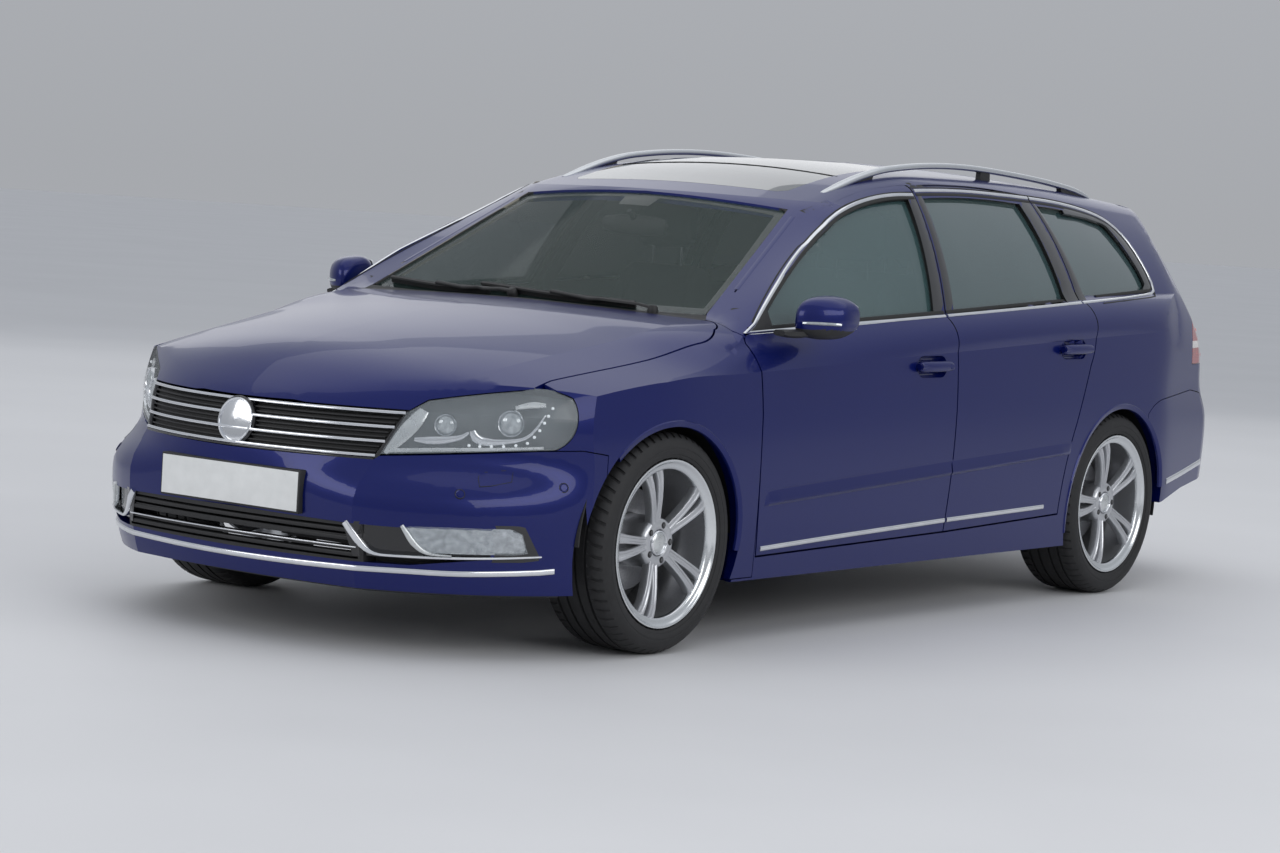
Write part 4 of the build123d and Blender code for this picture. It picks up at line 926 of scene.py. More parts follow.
# The number plate, left blank, on its black holder.
single("plate_holder", hull_box((2.330, -0.266, 0.380), (2.3835, 0.266, 0.502), 0.08), BLACK)
single("front_plate", hull_box((2.382, -0.260, 0.386), (2.3853, 0.260, 0.496), 0.3), PLATE)

# ---------------------------------------------------------------- headlamps

FACING = Vector((math.cos(math.radians(30)), math.sin(math.radians(30)), 0.02))


def lamp_place(t, z, depth):
    hit = surface(*from_corner(t, z))
    return hit[0] - hit[1] * depth


for name, t, z, r in (("inner_beam", -0.935, 0.655, 0.030), ("outer_beam", -0.752, 0.668, 0.036)):
    place = lamp_place(t, z, 0.024)
    rim = [(r * 0.86, -0.010), (r * 1.08, -0.010), (r * 1.10, 0.004), (r * 1.02, 0.010), (r * 0.92, 0.007),
           (r * 0.86, 0.001)]
    piece(name + "_ring", turned_about(rim, place, FACING), CHROME)
    dome = [(0, -0.010), (r * 0.86, -0.010), (r * 0.86, 0.001)]
    dome += [(r * 0.86 * math.cos(a), 0.001 + r * 0.42 * math.sin(a)) for a in (0.3, 0.6, 0.9, 1.2, 1.4)]
    piece(name + "_glass", turned_about(dome + [(0, 0.001 + r * 0.42)], place, FACING), BEAM)
for name, mat, proud, depth, rows in (
    ("lamp_wedge", SATIN, 0.003, 0.007, ((-1.098, 0.566, 0.012), (-1.078, 0.590, 0.030), (-1.050, 0.622, 0.040),
                                         (-1.018, 0.660, 0.040), (-0.998, 0.690, 0.030))),
    ("lamp_sill", SATIN, 0.003, 0.007, ((-1.085, 0.5735, 0.013), (-0.95, 0.582, 0.012), (-0.80, 0.590, 0.011),
                                        (-0.66, 0.600, 0.009))),
    ("inner_blade", CHROME, 0.004, 0.012, ((-1.020, 0.607, 0.012), (-0.985, 0.606, 0.020), (-0.94, 0.609, 0.020),
                                           (-0.895, 0.618, 0.014), (-0.870, 0.634, 0.008))),
    ("outer_blade", CHROME, 0.004, 0.011, ((-0.860, 0.640, 0.016), (-0.852, 0.622, 0.024), (-0.825, 0.610, 0.022),
                                           (-0.77, 0.612, 0.014), (-0.715, 0.624, 0.009), (-0.685, 0.652, 0.008),
                                           (-0.660, 0.694, 0.006))),
    ("lamp_visor", SATIN, 0.003, 0.012, ((-0.745, 0.712, 0.010), (-0.70, 0.722, 0.018), (-0.660, 0.722, 0.012))),
):
    piece(name, tapered(rows, proud, -depth, 0.008, sunk=0.004), mat)
dot = [(0, -0.002), (0.0045, -0.002), (0.0042, 0.001), (0.002, 0.0028), (0, 0.003)]
piece("lamp_dots", joined(*[turned_about(dot, lamp_place(t, z, 0.007), FACING, 12) for t, z in (
    (-0.868, 0.598), (-0.838, 0.597), (-0.806, 0.598), (-0.772, 0.600), (-0.738, 0.604), (-0.706, 0.612),
    (-0.688, 0.630), (-0.674, 0.650), (-0.662, 0.672), (-0.652, 0.692), (-0.641, 0.714),
)]), DOTS)
for ending, mat, keep in (("cover", LENS, True), ("bowl", HOUSING, False)):
    obj = smooth_copy("headlamps", [mat], name="headlamps_" + ending)
    bm = bmesh.new()
    bm.from_mesh(obj.data)
    bmesh.ops.delete(bm, geom=[f for f in bm.faces if OUTER[obj.name][f.index] != keep], context="FACES")
    bm.to_mesh(obj.data)
    bm.free()
    if keep:
        shell = obj.modifiers.new("thickness", "SOLIDIFY")
        shell.thickness = 0.003
        shell.offset = -1
        dress(obj, "headlamps")
    else:
        dress(obj, body=BODY_OF["headlamps"], slot=SLOT_OF["headlamps"])

# ---------------------------------------------------------------- doors and pillars


def inward(rows, amount, middle=(-0.30, 1.15)):
    """A line of x, z pairs moved towards the windows' middle."""
    out = []
    for i, row in enumerate(rows):
        before, after = complex(*rows[max(i - 1, 0)]), complex(*rows[min(i + 1, len(rows) - 1)])
        aside = (after - before) / abs(after - before) * 1j
        if (aside.conjugate() * (complex(*middle) - complex(*row))).real < 0:
            aside = -aside
        out.append((row[0] + aside.real * amount, row[1] + aside.imag * amount))
    return out


lip, gasket = ribbon(0.012, 0.0012, 0.010), ribbon(0.006, 0.0010, 0.003)
front_low, rear_low = ([(x, z + BESIDE_BELT) for x, z in rows] for rows in (front_belt, rear_belt))
piece("front_window_seal", joined(sweep(*beside_glass(0.0025), lip), trim(front_low, lip),
                                  sweep(*beside_glass(0.0235), gasket)), SEAL, "front_door")
piece("rear_window_seal", joined(trim(inward(rear_top, 0.0125), lip), trim(rear_low, lip),
                                 trim(inward(rear_top, -0.0085), gasket)), SEAL, "rear_door")
piece("quarter_window_seal", joined(*[trim(inward(quarter_rows[:-1], by, (-1.25, 1.18)), section)
                                      for by, section in ((0.0125, lip), (-0.0085, gasket))]), SEAL)
for name, on, low, high in (
    ("front_pillar_panel", "front_door", [(0.036, 0.985), (-0.0315, 0.989)], [(-0.074, 1.362), (-0.1235, 1.3765)]),
    ("rear_pillar_panel", "rear_door", [(-0.0385, 0.9895), (-0.090, 0.992)], [(-0.1335, 1.3772), (-0.170, 1.3785)]),
    ("rear_door_panel", "rear_door", [(-0.858, 1.036), (-0.9455, 1.0408)], [(-0.814, 1.3795), (-0.9035, 1.3785)]),
    ("quarter_panel", "body", [(-0.9535, 1.0415), (-1.006, 1.044)], [(-0.9115, 1.3785), (-0.934, 1.377)]),
):
    piece(name, sheet_on(from_side, low, high, 12, 3, 0.0012, 0.004), GLOSS_BLACK, on)
sail = sheet_on(from_side, [(1.056, 0.9305), (0.930, 0.9375)], [(1.052, 0.932), (0.930, 1.006)], 6, 8, 0.0022, 0.012)
piece("mirror_sail", sail, BLACK, "front_door")
QUARTER_GLASS_EDGE = [(-1.130, 1.3405), (-1.300, 1.3290), (-1.436, 1.3090), (-1.480, 1.2500), (-1.526, 1.1600),
                      (-1.541, 1.1050), (-1.500, 1.0810)]
QUARTER_OPENING = [(-1.135, 1.3675), (-1.318, 1.3490), (-1.441, 1.3245), (-1.513, 1.2880), (-1.555, 1.2360),
                   (-1.583, 1.1600), (-1.594, 1.1020), (-1.585, 1.0810), (-1.552, 1.0740)]
piece("quarter_frit", sheet_on(from_side, QUARTER_GLASS_EDGE, QUARTER_OPENING, 3, 26, 0.001, 0.010), GLOSS_BLACK)
piece("door_frame_cover", laid_strip(from_above, [(0.900, 0.6642), (0.7045, 0.6200), (0.470, 0.5670)],
                                     mirrored([(-0.008, 0), (-0.007, 0.0003)]), 0.0003, 0.02, 2), PAINT, "front_door")

# The grips of the door handles, oval bars that thin to both ends, over the CAD ones.
for door, x, z in (("front_door", 0.106, 0.825), ("rear_door", -0.834, 0.877)):
    shares = [i / 12 - 1 for i in range(25)]
    points = [Vector((x - 0.1005 * f, 0.9155 - 0.002 * f * f, z + 0.001 * f)) for f in shares]
    full = [max(0.0, 1 - abs(f) ** 5) ** 0.5 for f in shares]
    scales = [(0.62 + 0.38 * k, 0.75 + 0.25 * k) for k in full]
    grip = sweep(points, [Y] * 25, oval(0.0175, 0.0132, 24, 0.8, 0.5), scales)
    piece(door + "_handle", grip, PAINT, door, angle=60)
    if door == "front_door":
        cap = [(0, -0.004), (0.009, -0.004), (0.009, 0.0010), (0.008, 0.0018), (0, 0.0018)]
        piece(door + "_handle_cap", turned_about(cap, Vector((x - 0.082, 0.9265, z)), Y, 20), PAINT, door)

RIB = (  # x, low z, high z, how far it stands out
    (1.040, 0.415, 0.460, -0.002), (1.010, 0.418, 0.461, 0.0045), (0.960, 0.421, 0.464, 0.0075),
    (-0.045, 0.474, 0.518, 0.0075), (-0.780, 0.515, 0.553, 0.007), (-0.835, 0.518, 0.556, 0.003),
    (-0.856, 0.519, 0.556, -0.002),
)
RIB_SECTION = ((-0.16, 0.0), (-0.08, 0.30), (0.02, 0.82), (0.08, 0.98), (0.14, 1.0), (0.35, 0.74), (0.6, 0.42),
               (0.85, 0.11), (1, 0))


def feature_line(low_x, high_x):
    """The raised line along the doors: a face that leans out downwards and tucks back under."""
    grid = []
    count = max(int(abs(high_x - low_x) / 0.03), 2)
    stations = [high_x + (low_x - high_x) * i / count for i in range(count + 1)]
    stations += [row[0] for row in RIB if low_x < row[0] < high_x]
    for x in sorted(stations, reverse=True):
        a, b = next((a, b) for a, b in zip(RIB, RIB[1:]) if x >= b[0] - 1e-9)
        f = (x - a[0]) / (b[0] - a[0])
        low, high, proud = (p + (q - p) * f for p, q in zip(a[1:], b[1:]))
        line = []
        for share, out in RIB_SECTION:
            hit = surface(*from_side(x, low + (high - low) * share))
            line.append((hit[0] + hit[1] * (proud * out - 0.0002 if out else -0.0006), hit[1]))
        grid.append(line)
    return slab(grid, 0.003, 0.0)


piece("front_door_line", feature_line(-0.0405, 1.0395), PAINT, "front_door", angle=30)
piece("rear_door_line", feature_line(-0.855, -0.0470), PAINT, "rear_door", angle=30)

# Door mirrors: a painted shell over a black base, the glass, and a clear repeater.

MIRROR = (  # y, front x, rear x, low z, high z
    (0.893, 0.905, 0.798, 0.934, 0.996),
    (0.905, 0.928, 0.779, 0.922, 1.034),
    (0.925, 0.934, 0.764, 0.918, 1.048),
    (0.955, 0.925, 0.754, 0.916, 1.051),
    (0.985, 0.905, 0.750, 0.921, 1.047),
    (1.008, 0.881, 0.751, 0.934, 1.037),
    (1.022, 0.862, 0.756, 0.946, 1.026),
    (1.029, 0.842, 0.764, 0.960, 1.012),
)
REPEATER_Z = 0.9635


def rounded(low_x, high_x, low_z, high_z, count):
    """Points of a rounded rectangle in x, z, from the middle of its rear edge."""
    x, z = (low_x + high_x) / 2, (low_z + high_z) / 2
    return [(x - a, z + b) for a, b in oval((high_x - low_x) / 2, (high_z - low_z) / 2, count, 0.62)]


rings, plate, points = [], [], []
for y, front, rear, low, high in curve_through(MIRROR, 3):
    ring = []
    for x, z in rounded(rear, front, low, high, 48):
        if z > (low + high) / 2:
            z -= 0.12 * (high - low) * (1 - (front - x) / (front - rear)) ** 2
        ring.append(Vector((x, y, z)))
    rings.append(ring)
    if 0.902 < y < 1.016:
        plate.append([(Vector((rear - 0.0012, y, low + 0.014 + (high - low - 0.028) * j / 6)), -X) for j in range(7)])
    if 0.930 < y < 1.0225:
        spots = [p for p in rounded(rear, front, low, high, 96) if p[0] > (front + rear) / 2]
        spot = min(spots, key=lambda p: abs(p[1] - REPEATER_Z))
        points.append(Vector((spot[0] - 0.0012, y, REPEATER_Z)))
verts, faces = skin(rings)
middles = [sum((verts[k] for k in f), Vector()) / len(f) for f in faces]
base = [int(p.z < 0.9485 or p.x < 0.768 and abs(p.z - 0.984) < 0.05) for p in middles]
piece("mirror_shell", (verts, faces), PAINT, "front_door", replaced="door_mirror", extra=[BLACK], indices=base,
      angle=50)
piece("mirror_glass", slab(plate, 0.004, 0.0006), CHROME, "front_door")
foot_line = [Vector(p) for p in ((0.985, 0.888, 0.9340), (0.962, 0.896, 0.9335), (0.940, 0.905, 0.9335),
                                 (0.915, 0.915, 0.9350), (0.885, 0.930, 0.9380))]
arm = sweep(foot_line, [Z] * 5, mirrored([(-0.013, -0.020), (-0.021, -0.012), (-0.021, 0.004), (-0.014, 0.011)]),
            [(1.35, 0.55), (1.1, 0.75), (1.0, 0.8), (1.05, 0.8), (1.1, 0.7)])
piece("mirror_arm", arm, BLACK, "front_door", angle=50)
gaps = [points[min(i + 1, len(points) - 1)] - points[max(i - 1, 0)] for i in range(len(points))]
repeater = sweep(points, [Vector((g.y, -g.x, -0.05)).normalized() for g in gaps], ribbon(0.017, 0.0026, 0.004),
                 [(0.3 + 0.7 * min(i / 4, 1), 1) for i in range(len(points))])
piece("mirror_repeater", repeater, BEAM, "front_door")

# ---------------------------------------------------------------- roof

RAIL_TOP = ((0.2515, 1.3665), (0.190, 1.3830), (0.121, 1.4035), (0.050, 1.4235), (-0.028, 1.4415), (-0.100, 1.4550),
            (-0.181, 1.4650), (-0.320, 1.4775), (-0.470, 1.4850), (-0.620, 1.4870), (-0.775, 1.4835), (-0.970, 1.4745),
            (-1.170, 1.4620), (-1.300, 1.4505), (-1.396, 1.4400), (-1.490, 1.4235), (-1.545, 1.4085))
RAIL_Y = 0.528


def rail_foot(front_x, rear_x, front_lean=0.0, rear_lean=0.0):
    """A black filler between the rail and the roof."""
    rings = []
    for i in range(13):
        x = front_x + (rear_x - front_x) * i / 12
        a, b = next((a, b) for a, b in zip(RAIL_TOP, RAIL_TOP[1:]) if b[0] <= x <= a[0])
        high = a[1] + (b[1] - a[1]) * (x - a[0]) / (b[0] - a[0]) - 0.014
        low = surface(*from_above(x, RAIL_Y))[0].z - 0.004
        lean = front_lean * (1 - i / 12) + rear_lean * i / 12
        rings.append([Vector((x + shift, RAIL_Y + y, z)) for y, z, shift in (
            (-0.0125, low, 0), (-0.0105, low + 0.001, 0), (-0.0085, high, lean),
            (0.0085, high, lean), (0.0105, low + 0.001, 0), (0.0125, low, 0),
        )])
    return skin(rings)


points = [Vector((x, RAIL_Y, z - 0.011)) for x, z in curve_through(RAIL_TOP, 4)]
full = [min(max((0.2515 - p.x) / 0.10, 0), max((p.x + 1.545) / 0.09, 0), 1) ** 0.5 for p in points]
scales = [(0.45 + 0.55 * k, 0.35 + 0.65 * k) for k in full]
rail = sweep(points, [Z] * len(points), oval(0.0160, 0.0105, 20, 0.7, 0.5), scales)
piece("roof_rail", rail, SATIN_RAIL, angle=50)
feet = joined(rail_foot(0.205, -0.031, 0.0, -0.012), rail_foot(-0.735, -0.800), rail_foot(-1.322, -1.505, 0.010, 0.0))
piece("rail_feet", feet, BLACK)
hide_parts("roof_rails")
single("roof_seam", laid_strip(from_above, [(0.030, y) for y in (-0.44, -0.30, -0.15, 0, 0.15, 0.30, 0.44)],
                               ribbon(0.007, 0.0012, 0.002), -0.0005, 0.03, 2), SEAL)

# ---------------------------------------------------------------- windscreen

UNDER_GLASS = -0.0098
SCREEN_EDGE = [(1.046, 0.663), (0.900, 0.636), (0.745, 0.602), (0.600, 0.566), (0.450, 0.528), (0.455, 0.40),
               (0.478, 0.2), (0.489, 0.0)]
for name, width, rows in (
    ("screen_base_frit", 0.052, [(1.100, 0.0), (1.094, 0.22), (1.080, 0.40), (1.052, 0.560), (1.034, 0.640)]),
    ("screen_side_frit", 0.030, [(1.040, 0.646), (0.900, 0.618), (0.745, 0.583), (0.600, 0.548), (0.462, 0.513)]),
    ("screen_top_frit", 0.034, [(0.462, 0.520), (0.490, 0.280), (0.502, 0.0)]),
):
    piece(name, laid_strip(from_above, rows, ribbon(width, 0.0008, 0.001), UNDER_GLASS, 0.03), GLOSS_BLACK)
single("screen_sensor", sheet_on(from_above, [(0.560, -0.06), (0.560, 0.06)], [(0.490, -0.075), (0.490, 0.075)],
                                 4, 6, -0.0095, 0.002), GLOSS_BLACK)
piece("screen_seal", laid_strip(from_above, SCREEN_EDGE, ribbon(0.010, 0.003, 0.010), -0.004, 0.03), SEAL)
# Each wiper: its pivot, the arm's bend, the blade's middle, and the blade's two ends.
for name, pivot, bend, middle, low, high in (
    ("wiper_left", (1.100, 0.500), (1.108, 0.300), (1.096, 0.110), (1.080, 0.420), (1.070, -0.190)),
    ("wiper_right", (1.105, -0.040), (1.112, -0.200), (1.084, -0.360), (1.098, -0.140), (1.030, -0.600)),
):
    section = mirrored([(-0.005, -0.015), (-0.004, -0.002), (-0.0075, 0.002), (-0.005, 0.007)])
    blade = laid_strip(from_above, [low, middle, high], section, 0.0085, 0.03)
    points, ups = laid(from_above, [pivot, bend, middle], 0.020, 0.03)
    points[0].z -= 0.006
    knob = [(0, -0.03), (0.015, -0.03), (0.017, 0.006), (0.015, 0.016), (0.010, 0.022), (0, 0.023)]
    single(name, joined(blade, sweep(points, ups, ribbon(0.014, 0.004, 0.004)),
                        turned_about(knob, *surface(*from_above(*pivot))[:2], 20)), BLACK)

# ---------------------------------------------------------------- wheels
# Profiles are pairs of radius and place across the car.

TREAD = [(0.3225, 0.0175), (0.3160, 0.0185), (0.3160, 0.0255), (0.3225, 0.0265), (0.3224, 0.0535), (0.3155, 0.0545),
         (0.3155, 0.0615), (0.3220, 0.0625)]
WALL = [(0.3215, 0.078), (0.3195, 0.090), (0.3150, 0.0985), (0.3065, 0.1085), (0.2960, 0.1150), (0.2850, 0.1172),
        (0.2800, 0.1175), (0.2792, 0.1166), (0.2745, 0.1166), (0.2737, 0.1172), (0.2640, 0.1166), (0.2600, 0.1150),
        (0.2590, 0.1128), (0.2545, 0.1120), (0.2500, 0.1090), (0.2485, 0.0985), (0.2290, 0.0975)]
INNER_WALL = -0.1168
PITCHES = 60
BARREL = [(0.2287, 0.6785), (0.2287, 0.8776), (0.2140, 0.8700), (0.2125, 0.8550), (0.2085, 0.8000), (0.2065, 0.7000),
          (0.2100, 0.6820), (0.2160, 0.6785)]
LIP_RING = [(0.2270, 0.8700), (0.2450, 0.8782), (0.2457, 0.8800), (0.2457, 0.8890), (0.2443, 0.8910), (0.2405, 0.8913),
            (0.2375, 0.8900), (0.2345, 0.8860), (0.2305, 0.8838), (0.2235, 0.8822), (0.2175, 0.8800), (0.2150, 0.8765),
            (0.2138, 0.8690)]
HUB = [(0.0245, 0.7465), (0.0740, 0.7465), (0.0755, 0.7500), (0.0755, 0.8440), (0.0735, 0.8530), (0.0690, 0.8590),
       (0.0620, 0.8620), (0.0440, 0.8620), (0.0395, 0.8595), (0.0375, 0.8520), (0.0245, 0.8520)]
CAP_RING = [(0.0305, 0.8520), (0.0372, 0.8520), (0.0372, 0.8610), (0.0355, 0.8645), (0.0330, 0.8655), (0.0308, 0.8635)]
CAP = [(0.0, 0.8520), (0.0306, 0.8520), (0.0306, 0.8600), (0.0270, 0.8625), (0.0180, 0.8645), (0.0080, 0.8652),
       (0.0, 0.8654)]
ROTOR = [(0.0700, 0.7345), (0.1480, 0.7345), (0.1495, 0.7355), (0.1495, 0.7400), (0.1450, 0.7408), (0.1450, 0.7452),
         (0.1495, 0.7460), (0.1495, 0.7508), (0.1480, 0.7518), (0.0980, 0.7518), (0.0940, 0.7528), (0.0760, 0.7528),
         (0.0700, 0.7500)]
SPOKE = mirrored([(-0.5, -0.026), (-0.5, -0.006), (-0.43, -0.0012), (-0.34, 0), (-0.22, -0.0004), (-0.12, -0.0030)])
SPOKE_LINE = (  # radius, y, width
    (0.052, 0.8600, 0.030), (0.075, 0.8650, 0.027), (0.100, 0.8705, 0.0255), (0.130, 0.8765, 0.0255),
    (0.160, 0.8805, 0.0265), (0.190, 0.8825, 0.0285), (0.2160, 0.8800, 0.034),
)
BOLT_RADIUS = 0.0530


def turned(profile, x, count):
    """A closed profile turned about an axle."""
    rings = []
    for a in (TURN * i / count for i in range(count)):
        rings.append([Vector((x + r * math.sin(a), y, WHEEL_Z + r * math.cos(a))) for r, y in profile])
    return skin(rings, True)


def tyre_shape(x):
    """A tyre with four grooves round it and slanted cuts across both shoulders."""
    half = TREAD + WALL
    profile = [(r, max(-d, INNER_WALL)) for r, d in reversed(half)] + half
    rings = []
    for i in range(PITCHES):
        for share, cut in ((0.0, False), (0.68, False), (0.74, True), (0.94, True)):
            ring = []
            for r, d in profile:
                a = TURN * (i + share + abs(d) * 9) / PITCHES
                r -= 0.0055 if cut and 0.064 < abs(d) < 0.100 else 0
                ring.append(Vector((x + r * math.sin(a), WHEEL_Y + d, WHEEL_Z + r * math.cos(a))))
            rings.append(ring)
    return skin(rings, True)


def spokes(x):
    shapes = []
    for a in (math.radians(i * 72 + lean) for i in range(5) for lean in (-7, 7)):
        points = [Vector((x + r * math.cos(a), y, WHEEL_Z - r * math.sin(a))) for r, y, _ in SPOKE_LINE]
        shapes.append(sweep(points, [Y] * len(points), SPOKE, [(w, 1) for _, _, w in SPOKE_LINE]))
    return joined(*shapes)


for end, x in AXLES.items():
    rim_on, tyre_on = (BODY_OF[f"{end}_{what}_left"].removesuffix("_left") for what in ("rim", "tyre"))
    piece(end + "_wheel_tyre", tyre_shape(x), RUBBER, tyre_on, replaced=end + "_tyre", angle=28)
    wheel = joined(turned(BARREL, x, 96), spokes(x), turned(HUB, x, 60))
    piece(end + "_wheel_rim", wheel, ALLOY, rim_on, replaced=end + "_rim", angle=35)
    piece(end + "_wheel_lip", turned(LIP_RING, x, 120), POLISHED, rim_on, angle=50)
    piece(end + "_cap_ring", turned(CAP_RING, x, 48), CHROME, rim_on, angle=50)
    piece(end + "_cap", turned(CAP, x, 48), SATIN, rim_on, "alloy", angle=50)
    turns = [math.radians(i * 72 + 36) for i in range(5)]
    places = [Vector((x + BOLT_RADIUS * math.cos(a), 0.8622, WHEEL_Z - BOLT_RADIUS * math.sin(a))) for a in turns]
    pocket = [(0, -0.006), (0.0098, -0.006), (0.0098, 0.0002), (0.0085, 0.0006), (0, 0.0006)]
    head = [(0, -0.004), (0.0068, -0.004), (0.0068, 0.0026), (0.0056, 0.0038), (0, 0.0038)]
    piece(end + "_bolt_seats", joined(*[turned_about(pocket, p, Y, 20) for p in places]), BLACK, rim_on)
    piece(end + "_bolts", joined(*[turned_about(head, p, Y, 6) for p in places]), CAST, rim_on, angle=30)
    piece(end + "_brake_disc", turned(ROTOR, x, 90), DISC, rim_on, angle=35)

# ---------------------------------------------------------------- rear end


def on_back(rows, section, lift=0.0, spacing=0.01):
    return laid_strip(from_back, rows, section, lift, spacing, 4)


guide = ribbon(0.012, 0.0014)
for name, z, outer in (("outer_guide", 0.935, 0.770), ("outer_guide_low", 0.842, 0.775)):
    piece(name, on_back([(0.700, z), ((0.700 + outer) / 2, z + 0.002), (outer, z)], guide), RED_GUIDE)
for name, z in (("inner_guide", 0.935), ("inner_guide_low", 0.842)):
    piece(name, on_back([(0.575, z), (0.625, z), (0.672, z)], guide), RED_GUIDE, "tailgate")
for name, on, mat, z, end, section in (
    ("tailgate_grip", "tailgate", BLACK, 0.760, 0.150, ribbon(0.026, 0.006)),
    ("tailgate_trim", "tailgate", CHROME, 0.790, 0.470, ribbon(0.016, 0.004)),
    ("rear_strip", "body", CHROME, 0.470, 0.520, ribbon(0.022, 0.004)),
):
    single(name, across(from_back, z, end, 40, section), mat, on)
piece("rear_reflector", on_back([(0.575, 0.426), (0.650, 0.428), (0.730, 0.434)], ribbon(0.024, 0.003)), RED_LENS)
for name, y in (("rear_inner_sensor", 0.240), ("rear_outer_sensor", 0.620)):
    sensor(name, surface(*from_back(y, 0.560)))
TAILGATE_GLASS_EDGE = [(0, 1.066), (0.30, 1.069), (0.540, 1.073), (0.570, 1.084), (0.578, 1.110), (0.540, 1.185),
                       (0.500, 1.255), (0.468, 1.310), (0.445, 1.330), (0.300, 1.340), (0, 1.346)]
piece("tailgate_seal", on_back(TAILGATE_GLASS_EDGE, ribbon(0.014, 0.003, 0.010), -0.002, 0.02), SEAL, "tailgate")
low_frit = on_back([(0, 1.084), (0.30, 1.087), (0.545, 1.094)], ribbon(0.036, 0.0008, 0.001), UNDER_GLASS, 0.03)
piece("tailgate_frit_low", low_frit, GLOSS_BLACK, "tailgate")
single("brake_light", across(from_back, 1.362, 0.190, 40, ribbon(0.011, 0.003)), RED_LENS, "tailgate")
section = mirrored([(-0.004, -0.014), (-0.003, -0.002), (-0.006, 0.002), (-0.004, 0.006)])
blade = on_back([(-0.030, 1.102), (0.160, 1.108), (0.330, 1.122)], section, 0.002, 0.03)
arm = on_back([(0.0, 1.052), (0.020, 1.080), (0.090, 1.104), (0.160, 1.108)], ribbon(0.016, 0.004, 0.004), 0.010, 0.02)
knob = [(0, -0.012), (0.018, -0.012), (0.020, 0.004), (0.017, 0.012), (0.010, 0.016), (0, 0.017)]
pin = turned_about(knob, *surface(*from_back(0, 1.052))[:2], 24)
single("rear_wiper", joined(blade, arm, pin), BLACK, "tailgate")

# ---------------------------------------------------------------- cabin

CLOTH_STEPS = 20


def settled(obj):
    """The object's mesh with its modifiers worked out."""
    graph = bpy.context.evaluated_depsgraph_get()
    return bpy.data.meshes.new_from_object(obj.evaluated_get(graph))


def plumped(name, shape, voxel, cap, pinch):
    """A padded form swollen by cloth under pressure, each point moved by at most a cap, then sewn."""
    obj = add_mesh(name, *shape, [CLOTH], angle=80)
    grain = obj.modifiers.new("grain", "REMESH")
    grain.mode = "VOXEL"
    grain.voxel_size = voxel
    obj.data = settled(obj)
    obj.modifiers.clear()
    start = [v.co.copy() for v in obj.data.vertices]
    settings = obj.modifiers.new("cloth", "CLOTH").settings
    for key, value in (
        ("quality", 4), ("mass", 0.3), ("use_pressure", True), ("uniform_pressure_force", 4),
        ("tension_stiffness", 12), ("compression_stiffness", 12), ("shear_stiffness", 6),
        ("bending_stiffness", 0.6),
    ):
        setattr(settings, key, value)
    settings.effector_weights.gravity = 0
    for step in range(1, CLOTH_STEPS + 1):
        scene.frame_set(step)
    moved = [v.co.copy() for v in settled(obj).vertices]
    obj.modifiers.clear()
    scene.frame_set(1)
    for v, a, b in zip(obj.data.vertices, start, moved):
        gap = b - a
        v.co = a + gap * min(1, cap / gap.length if gap.length else 1)
    finer = obj.modifiers.new("finer", "SUBSURF")
    finer.levels = finer.render_levels = 1
    obj.data = settled(obj)
    obj.modifiers.clear()
    sewn = []
    for v in obj.data.vertices:
        deep = sum(d * math.exp(-((v.co[axis] - at) / width) ** 2) for axis, at, width, d in pinch)
        sewn.append(v.co - v.normal * deep)
    for v, co in zip(obj.data.vertices, sewn):
        v.co = co
    for poly in obj.data.polygons:
        poly.use_smooth = True
    obj.data.materials.clear()
    obj.data.materials.append(CLOTH)
    return obj


def cushion(stations, count, bolster, upright):
    """Rings along a seat pad: rows of x, z, half width and half thickness, with raised sides."""
    rings = []
    for x, z, wide, thick in curve_through(stations, 4):
        ring = []
        for i, (y, t) in enumerate(oval(wide, thick, count, 0.45)):
            s = math.sin(TURN * i / count)
            if s > 0:
                t += bolster * (2.2 * abs(y / 0.25) ** 4 - 0.6) * s
            ring.append(Vector((x + t, y, z)) if upright else Vector((x, y, z + t)))
        rings.append(ring)
    return skin(rings)


SEAT_Y = 0.385
BENCH_REST_Y = 0.4
PAIR, ONE = (("_left", SEAT_Y), ("_right", -SEAT_Y)), (("", 0),)
